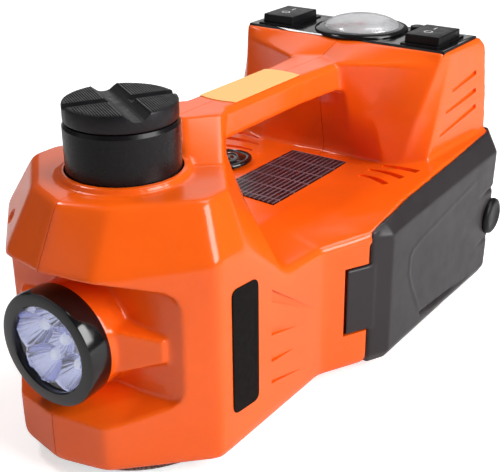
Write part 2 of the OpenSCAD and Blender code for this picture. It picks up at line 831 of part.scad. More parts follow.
// Frames that carry the rockers on their trunnions
module rocker_frames() color(black)
    for (s = [-1, 1]) difference() {
        intersection() {
            rocker_hole(s * rocker_x, part_gap + frame_w);
            translate([-rear_w, 0, rocker_z - frame_drop])
                cube([2 * rear_w, 2 * gauge_y, frame_top - rocker_z + frame_drop]);
        }
        rocker_hole(s * rocker_x, part_gap);
        translate([s * rocker_x, gauge_y - 3.5, rocker_z])
            along_x(trunnion_r + run_fit, -rocker_w, rocker_w);
    }

// Rocker: two flats that meet over the trunnion, with the end towards raised standing up
module rocker(x, raised)
    let (raised_z = 2 + rocker_l / 2 * tan(rocker_swing))
    translate([x, gauge_y - 3.5, rocker_z]) mirror([0, raised > 0 ? 0 : 1, 0]) {
        rotate([90, 0, 90]) translate([0, 0, -rocker_w / 2]) linear_extrude(rocker_w) polygon([
            [-rocker_l / 2 + 0.4, -1], [-3, -4.5], [3, -4.5], [rocker_l / 2 - 0.8, -0.2],
            [rocker_l / 2 - 1, raised_z - 1], [rocker_l / 2 - 3, raised_z],
            [0, 3.2], [-rocker_l / 2 + 0.4, 2.4]
        ]);
        along_x(trunnion_r, -rocker_w / 2 - part_gap - frame_w, rocker_w / 2 + part_gap + frame_w);
    }

module rocker_jack() color(black) rocker(-rocker_x, 1);

module rocker_inflator() color(black) rocker(rocker_x, -1);

module lamp_button() color(black)
    translate([lamp_at[0], lamp_at[1], tower_z - button_drop]) {
        cylinder(r = button_r, h = panel_top + button_proud - tower_z + button_drop, $fn = round_fn);
        cylinder(r = button_r + 1, h = button_drop - part_gap, $fn = round_fn);
    }

// Microswitch on the circuit board, under the lamp button
module lamp_switch() color(black)
    translate([lamp_at[0] - switch_w / 2, lamp_at[1] - switch_w, board_z + board_t])
        cube([switch_w, switch_w, tower_z - button_drop - button_travel - part_gap - board_z - board_t]);

// ---- gauge ----

module gauge_body() color(steel)
    translate([0, gauge_y, 0]) {
        difference() {
            union() {
                translate([0, 0, gauge_cup_z]) cylinder(r = gauge_cup_r, h = dial_z - gauge_cup_z, $fn = round_fn);
                translate([0, 0, panel_top]) cylinder(r = dial_r, h = dial_z - panel_top, $fn = round_fn);
            }
            translate([0, 0, dial_z - 3]) cylinder(r = 1 + run_fit, h = panel_top, $fn = small_fn);
        }
        translate([0, 0, gauge_cup_z - 8]) cylinder(r = 5, h = 8, $fn = small_fn);
    }

module gauge_dial() color("white")
    translate([0, gauge_y, 0]) ring(dial_r, 1 + run_fit, dial_z, dial_z + dial_t);

module gauge_needle() color("#C8281E")
    translate([0, gauge_y, 0]) rotate([0, 0, needle_zero]) {
        translate([0, 0, dial_z - 2.7]) cylinder(r = 1, h = 4.7, $fn = small_fn);
        translate([0, 0, dial_z + 1.1]) cylinder(r = 2.4, h = 1, $fn = small_fn);
        translate([0, 0, dial_z + 1.1]) linear_extrude(0.8)
            polygon([[-4, -0.9], [0, -1.2], [dial_r - 4, -0.2], [dial_r - 4, 0.2], [0, 1.2], [-4, 0.9]]);
    }

module gauge_bezel() color(black)
    translate([0, gauge_y, 0]) rotate_extrude($fn = round_fn) polygon([
        [gauge_lens_r + 0.2, panel_top], [gauge_r, panel_top], [gauge_r, panel_top + 1],
        [gauge_lens_r + 0.8, lens_base + 0.6], [gauge_lens_r + 0.2, lens_base + 0.6]
    ]);

// Domed lens: a shallow spherical cap on a short skirt
module gauge_lens() color("#DDE3E8", 0.4)
    let (
        cap_r = (gauge_lens_r ^ 2 + gauge_dome_h ^ 2) / (2 * gauge_dome_h),
        half = asin(gauge_lens_r / cap_r),
        turns = [0:8]
    )
    translate([0, gauge_y, lens_base + gauge_dome_h - cap_r]) rotate_extrude($fn = round_fn) polygon(concat(
        [for (i = turns) cap_r * [sin(half * i / 8), cos(half * i / 8)]],
        [[gauge_lens_r, cap_r - gauge_dome_h - lens_base + panel_top],
         [gauge_lens_r - lens_wall, cap_r - gauge_dome_h - lens_base + panel_top]],
        [for (i = [8:-1:0]) (cap_r - lens_wall) * [sin(half * 0.96 * i / 8), cos(half * 0.96 * i / 8)]]
    ));

// ---- storage cover ----

cover_front = cover_y + part_gap;
cover_plan = [
    [0, cover_front], [flare_x(cover_front), cover_front], [rear_w, flare_end_y], [rear_w, 122], [rear_w, 170],
    [rear_w + 0.5, 220], [rear_w - 5, cover_end], [0, cover_end]
];
// heights of the lower and the upper line of the bevel, from the front edge to the back
bevel_low = [75.5, 75.5, 75.2, 76.2, 78, 80.2, 80.2, 80.2];
bevel_high = [78.5, 78.5, 80.8, 85, 86.8, 90.2, 90.6, 90.6];
lip_w = shoulder_w + part_gap + cover_lip;
bevel_end = cover_end - 1.7;
bevel_plan = [
    [0, cover_front], [flare_x(cover_front), cover_front], [lip_w, flare_end_y], [lip_w, 122], [lip_w, 170],
    [lip_w, 219.4], [lip_w - 4.2, bevel_end], [0, bevel_end]
];
flange_w = tray_w + 0.4;
flange_end = tray_end + 0.4;
knob_y = 221;
knob_z = 42;
knob_t = 4.5;
knob_seat = 3;

// The cover's plan run forward past its front edge, so that a cut made with it leaves no skin there
function run_on(plan) =
    let (way = 2 * over * (plan[1] - plan[2]) / (plan[2][1] - plan[1][1]))
    concat([plan[0] + [0, way[1]], plan[1] + way], [for (i = [2:len(plan) - 1]) plan[i]]);

module cover_outer() skin([
    at_z(inset(cover_plan, edge_in), bottom_z + 0.2),
    at_z(inset(cover_plan, 0), bottom_z + edge_up + 2),
    lifted(inset(cover_plan, 0), bevel_low),
    lifted(inset(bevel_plan, 0), bevel_high)
]);

// Space inside the cover: above its bottom flange, and round the shoulder of the housing
module cover_inner() {
    skin([
        at_z(inset(run_on(cover_plan), cover_wall + edge_in / 2), bottom_z + cover_wall),
        at_z(inset(run_on(cover_plan), cover_wall), bottom_z + edge_up + 3),
        at_z(inset(run_on(cover_plan), cover_wall), shoulder_z)
    ]);
    skin([
        at_z(inset(run_on(bevel_plan), cover_lip), shoulder_z - part_gap),
        at_z(inset(run_on(bevel_plan), cover_lip), 2 * shoulder_z)
    ]);
    translate([-over, 0, 0]) cube([flange_w + over, flange_end, shoulder_z]);
}

// Tab that the thumb presses to free the cover, lying in the flare's window
module push_tab()
    let (tilt = atan(flare_k))
    translate([flare_x(cover_y - tab_l), cover_y - tab_l, tab_z]) rotate([0, 0, -tilt])
        translate([-cover_wall, 0, 0]) cube([cover_wall, (tab_l + 3) / cos(tilt), tab_h]);

module knob_place() translate([rear_w, knob_y, knob_z]) rotate([0, 90, 0]) children();

// Storage cover: one moulding that wraps both sides and the back of the bay and draws off backwards
module storage_cover() color(cover_grey)
    mirrored_x() difference() {
        union() {
            difference() {
                intersection() {
                    cover_outer();
                    half_space(1);
                }
                cover_inner();
            }
            push_tab();
            knob_place() translate([0, 0, -2 * knob_seat - 1]) cylinder(r = 4.5, h = knob_seat + 1, $fn = small_fn);
        }
        knob_place() translate([0, 0, -knob_seat]) cylinder(r = knob_r + part_gap, h = 4 * knob_seat, $fn = round_fn);
        knob_place() translate([0, 0, -4 * knob_seat]) cylinder(r = 2 + run_fit, h = 4 * knob_seat, $fn = small_fn);
    }

// Latch knob: a round cap on a stem that slides in the cover's boss
module cover_knob()
    knob_place() {
        translate([0, 0, knob_travel + part_gap - knob_seat]) cylinder(r = knob_r, h = knob_t, $fn = round_fn);
        translate([0, 0, -3 * knob_seat]) cylinder(r = 2, h = 3 * knob_seat, $fn = small_fn);
    }

module cover_knob_right() color(black) cover_knob();

module cover_knob_left() color(black) mirror([1, 0, 0]) cover_knob();

// ---- plates and caps on the housing ----

badge_t = 0.6;

module side_badges() color(black)
    mirrored_x() translate([body_w, 0, 0]) rotate([90, 0, 90]) linear_extrude(badge_t)
        polygon([[-6, 29.5], [12.6, 28], [12.6, 81.7], [-6, 84.3]]);

plate_w = 17.5;
plate_from = 87.4;
plate_cut = 15;
plate_to = 157;

// Plate that follows the middle of the deck, with its front left corner cut off
module deck_plate() color(black)
    let (rows = [for (r = deck_rows) if (r[0] > flare_y && r[0] <= 160) r])
    intersection() {
        skin([
            for (i = [len(rows) - 1:-1:0])
                at_y([
                    [-plate_w, rows[i][4]], [plate_w, rows[i][4]],
                    [plate_w, rows[i][4] + badge_t], [-plate_w, rows[i][4] + badge_t]
                ], i == 0 ? plate_from : rows[i][0])
        ]);
        linear_extrude(2 * deck_z) polygon([
            [plate_cut - plate_w, plate_from - over], [plate_w + over, plate_from - over], [plate_w + over, plate_to],
            [-plate_w - over, plate_to], [-plate_w - over, plate_from + plate_cut]
        ]);
    }

cap_at = [-39, 121, 82.4];
cap_lean = -4.5;
cap_r = 16;

module cap_place() translate(cap_at) rotate([0, cap_lean, 0]) children();

module filler_cap() color(black)
    cap_place() rotate_extrude($fn = round_fn)
        polygon([[0, 0], [cap_r, 0], [cap_r, 2.6], [cap_r - 2, 3.8], [cap_r - 4, 3.4], [0, 4.8]]);

patch_from = 64;
patch_to = 122;

module handle_patch() color("#F6B04A")
    translate([0, (patch_from + patch_to) / 2, handle_z]) linear_extrude(badge_t / 2)
        intersection() {
            square([2 * (handle_w - handle_bevel), patch_to - patch_from], center = true);
            circle(r = (patch_to - patch_from) / 2, $fn = round_fn);
        }

jack_base();
jack_cylinder();
cylinder_gland();
ram_stage_1();
ram_stage_2();
ram_stage_3();
saddle();
pump_block();
oil_tank();
release_valve();
pump_gearbox();
pump_motor();
compressor_crankcase();
compressor_motor();
compressor_cylinder();
compressor_head();
hose_port();
cord_gland();
control_board();
housing_left();
housing_right();
housing_screws();
rear_feet();
torch_bezel();
torch_lens();
torch_reflector();
torch_leds();
torch_board();
control_panel();
rocker_frames();
rocker_jack();
rocker_inflator();
lamp_button();
lamp_switch();
gauge_body();
gauge_dial();
gauge_needle();
gauge_bezel();
gauge_lens();
storage_cover();
cover_knob_left();
cover_knob_right();
side_badges();
deck_plate();
filler_cap();
handle_patch();
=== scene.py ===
"""Portable electric car jack with tyre inflator, pressure gauge and torch, dressed over its frame."""

from contextlib import contextmanager
from math import atan, atan2, cos, exp, hypot, pi, radians, sin

import bmesh
import bpy
from bpy.props import FloatProperty, FloatVectorProperty, IntProperty, PointerProperty
from bpy.types import Operator, Panel, PropertyGroup
from mathutils import Matrix, Vector


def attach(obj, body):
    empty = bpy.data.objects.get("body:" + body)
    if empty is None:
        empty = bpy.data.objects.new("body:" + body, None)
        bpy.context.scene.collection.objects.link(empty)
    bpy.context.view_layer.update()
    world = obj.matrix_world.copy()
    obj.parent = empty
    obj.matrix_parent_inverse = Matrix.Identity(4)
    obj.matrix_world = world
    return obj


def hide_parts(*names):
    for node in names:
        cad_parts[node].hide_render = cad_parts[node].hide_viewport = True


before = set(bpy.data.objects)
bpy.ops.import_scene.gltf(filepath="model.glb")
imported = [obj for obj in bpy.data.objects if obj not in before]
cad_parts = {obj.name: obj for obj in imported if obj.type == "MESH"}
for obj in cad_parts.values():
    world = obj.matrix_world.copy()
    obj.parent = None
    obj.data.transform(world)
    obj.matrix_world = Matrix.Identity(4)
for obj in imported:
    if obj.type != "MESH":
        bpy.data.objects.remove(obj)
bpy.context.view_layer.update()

bl_info = {
    "name": "Electric Car Jack",
    "version": (1, 0, 0),
    "blender": (4, 5, 0),
    "location": "View3D > Sidebar > Car Jack",
    "description": "Builds the mouldings, metalwork, torch and gauge of a portable electric car jack",
    "category": "Add Mesh",
}

MM = 0.001
QUICK, QUICK_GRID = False, 1.6 * MM


# ---- sizes and colours ----

def srgb(code):
    """Turn an sRGB hex colour to the linear colour that shaders work in."""
    channels = [int(code[i:i + 2], 16) / 255 for i in (0, 2, 4)]
    return [c / 12.92 if c <= 0.04045 else ((c + 0.055) / 1.055) ** 2.4 for c in channels] + [1.0]


def size(name, description, default, low=0.0, high=200.0):
    """A length that a user would change, given in millimetres and kept in metres."""
    return FloatProperty(name=name, description=description, default=default * MM,
                         min=low * MM, max=high * MM, unit="LENGTH", precision=4)


def tint(name, description, code):
    """A colour that a user would change, given as sRGB hex."""
    return FloatVectorProperty(name=name, description=description, default=srgb(code),
                               size=4, min=0, max=1, subtype="COLOR")


class JackSizes(PropertyGroup):
    """Sizes of the details that dress the frame."""
    mould_grid: size("Moulding mesh", "Mesh size of the moulded housing", 0.8, 0.5, 3)
    seam: size("Seam", "Gap between the two halves of the housing", 0.3, 0.05, 1)
    housing_wall: size("Housing wall", "Wall thickness of the housing", 2.6, 1, 5)
    rib_pitch: size("Saddle ribs", "Pitch of the ribs on the saddle", 1.1, 0.8, 4)
    edge: size("Edge radius", "Radius of the edges of small mouldings", 0.5, 0.1, 2)
    flutes: IntProperty(name="Reflector flutes", description="Flutes round each lamp of the torch",
                        default=22, min=8, max=60)


class JackColours(PropertyGroup):
    """Colours of the finishes."""
    housing: tint("Housing", "Orange of the moulded housing", "FB6110")
    cover: tint("Storage cover", "Grey of the moulded storage cover", "2C2729")
    gloss_black: tint("Gloss black", "Black of the panel and the torch bezel", "0E0D0F")
    paint_black: tint("Black paint", "Black of the painted jack cylinder", "141214")
    foot: tint("Foot", "Grey of the cast foot", "7A7876")
    patch: tint("Handle patch", "Yellow of the printed patch on the handle", "FFC46E")
    plate: tint("Deck plate", "Dark print of the deck plate", "1E0F16")
    reflector: tint("Reflector", "Tint of the torch's silvered reflector", "C9CCEE")
    needle: tint("Needle", "Red of the gauge needle", "C8281E")


# ---- shaping ----

@contextmanager
def edited(mesh):
    """A mesh opened for editing, and written back at the end."""
    solid = bmesh.new()
    solid.from_mesh(mesh)
    yield solid
    solid.to_mesh(mesh)
    solid.free()


def linked(name, data):
    """A new object in the scene."""
    obj = bpy.data.objects.new(name, data)
    bpy.context.scene.collection.objects.link(obj)
    return obj


def copied(obj):
    """Copy of a solid, with a mesh of its own."""
    return linked(obj.name, obj.data.copy())


def make_object(name, vertices, faces):
    """Link a new mesh object to the scene, its places given in millimetres and its faces set outwards."""
    mesh = bpy.data.meshes.new(name)
    mesh.from_pydata([[c * MM for c in v] for v in vertices], [], faces)
    with edited(mesh) as solid:
        bmesh.ops.recalc_face_normals(solid, faces=solid.faces)
    return linked(name, mesh)


def finer(rings, steps):
    """Rings with points and rings put in between, so that twisted faces curve evenly."""
    def between(a, b):
        return [tuple(Vector(a).lerp(b, k / steps)) for k in range(steps)]

    rings = [[p for a, b in zip(ring, ring[1:] + ring[:1]) for p in between(a, b)] for ring in rings]
    layers = [zip(*(between(a, b) for a, b in zip(low, high))) for low, high in zip(rings, rings[1:])]
    return [list(ring) for layer in layers for ring in layer] + rings[-1:]


def loft(rings, name="form", steps=1):
    """Closed solid through rings that all have the same count of points."""
    rings = finer(rings, steps) if steps > 1 else rings
    n, last = len(rings[0]), len(rings) - 1
    faces = [[j * n + i, j * n + (i + 1) % n, (j + 1) * n + (i + 1) % n, (j + 1) * n + i]
             for j in range(last) for i in range(n)]
    faces += [list(range(n)), [last * n + i for i in range(n)]]
    obj = make_object(name, [p for ring in rings for p in ring], faces)
    with edited(obj.data) as solid:
        bmesh.ops.triangulate(solid, faces=solid.faces, quad_method="SHORT_EDGE", ngon_method="EAR_CLIP")
        bmesh.ops.recalc_face_normals(solid, faces=solid.faces)
    return obj


def both_sides(half):
    """A half outline that starts and ends on the middle line, with its mirror image."""
    return half + [(-p[0], *p[1:]) for p in reversed(half) if p[0] > 0]


def at_z(outline, z):
    """A flat half outline set level at z, made whole."""
    return both_sides([(x, y, z) for x, y in outline])


def lifted(outline, heights):
    """A flat half outline with a height of its own at each point, made whole."""
    return both_sides([(x, y, z) for (x, y), z in zip(outline, heights)])


def at_y(section, y):
    """A half cross-section of x and z pairs set upright at y, made whole."""
    return both_sides([(x, y, z) for x, z in section])


def rounded(corners, radius, count=6):
    """A flat outline with its corners rounded."""
    out = []
    for before, corner, after in zip(corners[-1:] + corners[:-1], corners, corners[1:] + corners[:1]):
        b, c, a = Vector(before), Vector(corner), Vector(after)
        start, end = c + radius * (b - c).normalized(), c + radius * (a - c).normalized()
        out += [tuple((1 - t) ** 2 * start + 2 * t * (1 - t) * c + t * t * end)
                for t in [i / count for i in range(count + 1)]]
    return out


def inset(chain, t):
    """A half outline moved inwards by t, its ends kept on the middle line."""
    points = [Vector(p) for p in chain]
    ways = [(b - a).normalized() for a, b in zip(points, points[1:])]
    moved = [p + t * Vector((-w.y, w.x)) for p, w in zip(points, ways)]
    out = [(0, moved[0].y - ways[0].y / ways[0].x * moved[0].x)]
    for p, u, q, v in zip(moved, ways, moved[1:], ways[1:]):
        turn = u.cross(v)
        out.append(tuple(q if abs(turn) < 1e-4 else p + (q - p).cross(v) / turn * u))
    return out + [(0, moved[-1].y - ways[-1].y / ways[-1].x * moved[-1].x)]


def block(low, high, name="form"):
    """Block from its lowest to its highest corner."""
    (x0, y0, z0), (x1, y1, z1) = low, high
    ring = [(x0, y0), (x1, y0), (x1, y1), (x0, y1)]
    return loft([[(x, y, z0) for x, y in ring], [(x, y, z1) for x, y in ring]], name)


def turned(profile, place=Matrix(), steps=96, name="form"):
    """Solid turned about local Z from a closed profile of radius and height pairs, set in place."""
    n = len(profile)
    points, faces = [], []
    for i in range(steps):
        a = 2 * pi * i / steps
        points += [place @ Vector((r * cos(a), r * sin(a), h)) for r, h in profile]
        k = (i + 1) % steps
        faces += [[i * n + j, k * n + j, k * n + (j + 1) % n, i * n + (j + 1) % n] for j in range(n)]
    obj = make_object(name, points, faces)
    with edited(obj.data) as solid:
        bmesh.ops.remove_doubles(solid, verts=solid.verts, dist=1e-7)
        bmesh.ops.dissolve_degenerate(solid, edges=solid.edges, dist=1e-8)
        bmesh.ops.recalc_face_normals(solid, faces=solid.faces)
    return obj


def rod(r, start, end, steps=64, name="form"):
    """Round bar between two points."""
    start, end = Vector(start), Vector(end)
    turn = (end - start).to_track_quat("Z", "Y").to_matrix().to_4x4()
    place = Matrix.Translation(start) @ turn
    long = (end - start).length
    return turned([(0, 0), (r, 0), (r, long), (0, long)], place, steps, name)


def mirrored(obj):
    """Copy of a solid on the other side of the middle plane."""
    copy = copied(obj)
    copy.data.transform(Matrix.Scale(-1, 4, (1, 0, 0)))
    copy.data.flip_normals()
    return copy


def pair(obj):
    """A solid and its mirror image."""
    return [obj, mirrored(obj)]


def settle(obj):
    """Turn an object's modifiers into its mesh."""
    graph = bpy.context.evaluated_depsgraph_get()
    mesh = bpy.data.meshes.new_from_object(obj.evaluated_get(graph))
    obj.modifiers.clear()
    obj.data = mesh
    return obj


def combine(obj, others, operation):
    """Join, cut or cross a solid with others, which are used up."""
    for other in others:
        modifier = obj.modifiers.new("combine", "BOOLEAN")
        modifier.operation, modifier.solver, modifier.object = operation, "MANIFOLD", other
    settle(obj)
    for other in others:
        bpy.data.objects.remove(other)
    return obj


def joined(first, *others):
    """Solids made one."""
    return combine(first, others, "UNION")


def cut(obj, *tools):
    """A solid less its cutting tools."""
    return combine(obj, tools, "DIFFERENCE")


def soften(obj, grid, passes):
    """Rebuild a solid on an even grid and round its edges, as a mould's are."""
    remesh = obj.modifiers.new("remesh", "REMESH")
    remesh.mode, remesh.voxel_size, remesh.use_smooth_shade = "VOXEL", grid, True
    if passes:
        smooth = obj.modifiers.new("smooth", "SMOOTH")
        smooth.factor, smooth.iterations = 0.5, passes
    return settle(obj)


def groove(obj, line, way, depths, halves):
    """Cutter for a groove in the surface that a line is cast on; its depth and half width change along it."""
    way, points, rings = Vector(way), [Vector(p) for p in line], []
    ahead = [b - a for a, b in zip(points, points[1:])]
    for i, (p, run) in enumerate(zip(points, ahead + ahead[-1:])):
        t = i / (len(points) - 1)
        depth, half = (a + t * (b - a) for a, b in (depths, halves))
        across = run.cross(way).normalized() * half
        foot = obj.ray_cast(p * MM, way)[1] / MM
        rings.append([foot - across - 5 * way, foot - across * 0.9 + way * depth * 0.6, foot + way * depth,
                      foot + across * 0.9 + way * depth * 0.6, foot + across - 5 * way])
    return loft(rings)


def shade(obj, angle=35):
    """Shade smoothly, with hard edges where faces turn by more than the angle."""
    obj.data.shade_smooth()
    obj.data.set_sharp_from_angle(angle=radians(angle))
    return obj


def bevel_edges(obj, width, angle=30, segments=3):
    """Round every edge of a solid that turns by more than the angle."""
    with edited(obj.data) as solid:
        bmesh.ops.remove_doubles(solid, verts=solid.verts, dist=1e-7)
        bmesh.ops.dissolve_limit(solid, angle_limit=radians(2), verts=solid.verts, edges=solid.edges)
        edges = [e for e in solid.edges if len(e.link_faces) == 2 and e.calc_face_angle() > radians(angle)]
        bmesh.ops.bevel(solid, geom=edges, offset=width, segments=segments, profile=0.5,
                        affect="EDGES", clamp_overlap=True)
    return shade(obj, 50)


def node_copy(node, name):
    """Copy of a frame node's solid, free to be worked on."""
    obj = linked(name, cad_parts[node].data.copy())
    with edited(obj.data) as solid:
        bmesh.ops.remove_doubles(solid, verts=solid.verts, dist=1e-6)
    return obj


def letters(text, height, place, name="mark"):
    """Flat raised lettering, its middle on the local origin, set in place."""
    curve = bpy.data.curves.new(name, "FONT")
    curve.body, curve.size = text, height * MM
    curve.align_x, curve.align_y, curve.extrude = "CENTER", "CENTER", 0.05 * MM
    source = linked(name, curve)
    graph = bpy.context.evaluated_depsgraph_get()
    mesh = bpy.data.meshes.new_from_object(source.evaluated_get(graph))
    bpy.data.objects.remove(source)
    mesh.transform(Matrix.Translation(place.to_translation() * MM) @ place.to_3x3().to_4x4())
    return linked(name, mesh)


def gathered(parts, name):
    """Several meshes gathered in one object, without joining their solids."""
    mesh = bpy.data.meshes.new(name)
    with edited(mesh) as solid:
        for part in parts:
            solid.from_mesh(part.data)
            bpy.data.objects.remove(part)
    return linked(name, mesh)


def fit(obj, body, material, slot, *nodes):
    """Finish a piece: its material, the body it moves with, and the nodes it stands for. The slot is not
    used.
    """
    obj.data.materials.clear()
    obj.data.materials.append(finish(material))
    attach(obj, body)
    if nodes:
        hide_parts(*nodes)
    return obj


def dress(material, *nodes):
    """Give frame nodes whose shape is right their finish."""
    for node in nodes:
        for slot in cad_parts[node].material_slots:
            slot.material = finish(material)


# ---- materials ----

def add_node(tree, kind, inputs=None, **settings):
    """Add a node; each input is a value, or another node's output that is linked to it."""
    node = tree.nodes.new(kind)
    for name, value in settings.items():
        setattr(node, name, value)
    for name, value in (inputs or {}).items():
        if isinstance(value, bpy.types.NodeSocket):
            tree.links.new(value, node.inputs[name])
        else:
            node.inputs[name].default_value = value
    return node


def new_material(name, colour, roughness, values=None):
    """A material with its shader set, returned with its tree, shader and object coordinates."""
    material = bpy.data.materials.new(name)
    material.use_nodes = True
    tree = material.node_tree
    shader = tree.nodes["Principled BSDF"]
    for socket, value in {"Base Color": colour, "Roughness": roughness, **(values or {})}.items():
        shader.inputs[socket].default_value = value
    place = add_node(tree, "ShaderNodeTexCoord").outputs["Object"]
    return material, tree, shader, place


def vary(tree, shader, socket, place, grain, low, high):
    """Vary a shader's plain value or colour between two, in soft patches of the grain's size."""
    noise = add_node(tree, "ShaderNodeTexNoise", {"Vector": place, "Scale": 1 / grain, "Detail": 3.0})
    if isinstance(low, float):
        spread = add_node(tree, "ShaderNodeMapRange", {
            "Value": noise.outputs["Fac"], "From Min": 0.3, "From Max": 0.7, "To Min": low, "To Max": high})
        tree.links.new(spread.outputs["Result"], shader.inputs[socket])
    else:
        ramp = add_node(tree, "ShaderNodeValToRGB", {"Fac": noise.outputs["Fac"]})
        for stop, place_on_ramp, colour in zip(ramp.color_ramp.elements, (0.35, 0.65), (low, high)):
            stop.position, stop.color = place_on_ramp, colour
        tree.links.new(ramp.outputs["Color"], shader.inputs[socket])


def roughen(tree, shader, place, bumps):
    """Add bump from noise, for pairs of height and grain in millimetres, coarse first."""
    normal = None
    for height, grain in bumps:
        noise = add_node(tree, "ShaderNodeTexNoise", {
            "Vector": place, "Scale": 1 / (grain * MM), "Detail": 2.0})
        bump = add_node(tree, "ShaderNodeBump", {"Height": noise.outputs["Fac"], "Distance": height * MM})
        if normal:
            tree.links.new(normal, bump.inputs["Normal"])
        normal = bump.outputs["Normal"]
    tree.links.new(normal, shader.inputs["Normal"])


def darker(colour, share):
    """A colour scaled towards black."""
    return [c * share for c in colour[:3]] + [1.0]


def colours():
    """The colours that a user can change."""
    return bpy.context.scene.jack_colours


# Each finish has its colour, as a colour property or sRGB hex, its roughness and the shader's other values.
# Then come the sockets that vary, with a grain in millimetres and both ends, where a number is a share of the
# colour. Last are its bumps, coarse first, as height and grain in millimetres.
FINISHES = {
    # ABS from a polished mould: a deep even orange under a clear gloss, with faint sink waves and hand smears
    "abs_moulded_gloss_orange": (
        "housing", 0.2, {"IOR": 1.53, "Specular IOR Level": 0.42},
        {"Base Color": (30, 0.94, 1), "Roughness": (12, 0.16, 0.24)}, [(0.04, 22)]),
    # ABS from a spark-eroded mould: a fine even texture that spreads the light to a satin grey;
    # spark texture is about 0.1 mm, drawn as 0.5 mm so that it shows
    "abs_moulded_satin_grey": (
        "cover", 0.36, {"IOR": 1.5, "Specular IOR Level": 0.34},
        {"Base Color": (18, 0.9, 1), "Roughness": (9, 0.33, 0.43)}, [(0.012, 0.5)]),
    # ABS from a mirror-polished mould: black with sharp reflections and a little dust haze
    "abs_moulded_gloss_black": (
        "gloss_black", 0.12, {"IOR": 1.53}, {"Roughness": (8, 0.09, 0.18)}, [(0.02, 14)]),
    # glass-filled nylon: black with a soft satin sheen and a fine mould grain
    "nylon_moulded_satin_black": (
        "100F11", 0.36, {"IOR": 1.5, "Specular IOR Level": 0.2}, {"Roughness": (4, 0.3, 0.42)},
        [(0.01, 0.5)]),
    # steel tube sprayed black: semi-gloss with slight orange peel
    "steel_painted_black": (
        "paint_black", 0.28, {"IOR": 1.5, "Specular IOR Level": 0.22}, {"Roughness": (6, 0.22, 0.34)},
        [(0.02, 1.5)]),
    # sand-cast iron under thin grey paint: pits and bright speckles of about a millimetre
    "iron_cast_painted_grey": (
        "foot", 0.55, {"IOR": 1.5, "Metallic": 0.25}, {"Base Color": (0.9, 0.45, "B4B2AE")},
        [(0.25, 2.5), (0.06, 0.8)]),
    # hard-chromed and ground rod: a bright mirror with fine rings from the grinding
    "steel_chromed": ("D9DADC", 0.12, {"Metallic": 1.0}, {"Roughness": (5, 0.08, 0.18)}, []),
    # turned and zinc-plated steel: grey-bright, slightly cloudy
    "steel_turned_zinc": ("B9BCC0", 0.3, {"Metallic": 1.0}, {"Roughness": (3, 0.22, 0.4)}, [(0.01, 0.8)]),
    # forged and blackened steel: near black with a dull sheen
    "steel_forged_blackened": (
        "232124", 0.42, {"Metallic": 0.6}, {"Roughness": (3, 0.34, 0.5)}, [(0.05, 1.2)]),
    # die-cast aluminium: pale matt skin with a faint mottle
    "aluminium_die_cast": ("A9ABAE", 0.5, {"Metallic": 1.0}, {"Roughness": (5, 0.4, 0.6)}, [(0.04, 1)]),
    # turned brass: warm yellow metal, soft tool marks
    "brass_turned": ("C9A25A", 0.28, {"Metallic": 1.0}, {"Roughness": (3, 0.2, 0.36)}, []),
    # moulded rubber: dull grey-black
    "rubber_moulded_black": ("1C1B1C", 0.75, {"IOR": 1.52}, {"Roughness": (3, 0.65, 0.85)}, []),
    # circuit board under green solder mask: glossy, with darker copper areas showing through
    "fibreglass_green_solder_mask": (
        "1F5A35", 0.3, {"IOR": 1.5}, {"Base Color": (5, "174A2B", "2B7A48")}, []),
    # white dial, printed on enamelled card: clean and matt
    "enamel_printed_white": ("ECECEA", 0.5, {"IOR": 1.5}, {"Roughness": (4, 0.45, 0.55)}, []),
    # black screen-printing ink: flat and slightly rough
    "ink_printed_black": ("1A1A1C", 0.55, {"IOR": 1.5}, {"Roughness": (1, 0.5, 0.6)}, []),
    # white pad-printing ink: flat, a little thin
    "ink_printed_white": ("D8D8DA", 0.5, {"IOR": 1.5}, {"Base Color": (0.6, "B4B4B8", "E6E6E8")}, []),
    # red lacquered needle: smooth and bright
    "lacquer_red": ("needle", 0.3, {"IOR": 1.5}, {"Roughness": (2, 0.25, 0.35)}, []),
    # clear moulded polycarbonate: glass-like, with a faint haze
    "polycarbonate_clear": (
        "F4F6F8", 0.04, {"IOR": 1.585, "Transmission Weight": 1.0}, {"Roughness": (6, 0.02, 0.08)}, []),
    # domed polycarbonate gauge glass, hazed by handling: the dial shows dimly through a milky shine
    "polycarbonate_hazed": (
        "E6E6E8", 0.2, {"IOR": 1.585, "Transmission Weight": 0.75}, {"Roughness": (6, 0.16, 0.26)}, []),
    # matt black printed vinyl label: soft dark face with hardly any shine
    "vinyl_printed_black": (
        "141211", 0.6, {"IOR": 1.5, "Specular IOR Level": 0.05}, {"Roughness": (3, 0.52, 0.66)}, []),
    # moulded plastic silvered in vacuum: a bright mirror with a violet tint from the coating
    "plastic_silvered": ("reflector", 0.1, {"Metallic": 1.0}, {"Roughness": (2, 0.06, 0.16)}, []),
    # clear resin over a lamp chip: pale and wet-looking, made bright by a faint painted glow from its
    # emission
    "resin_clear_lamp": (
        "F2F4FF", 0.08, {"IOR": 1.5, "Emission Color": srgb("DDE2FF"), "Emission Strength": 0.35},
        {"Roughness": (1, 0.05, 0.12)}, []),
    # printed vinyl: warm yellow with a fine even grain, half matt
    "vinyl_printed_yellow": ("patch", 0.42, {"IOR": 1.5}, {"Base Color": (0.8, 0.93, 1)}, [(0.01, 0.8)]),
    # dark printed vinyl with a ruled table: thin pale rules between columns and rows, cells left blank
    "vinyl_printed_table": (
        "plate", 0.35, {"IOR": 1.5, "Specular IOR Level": 0.25}, {"Roughness": (4, 0.24, 0.36)}, []),
}


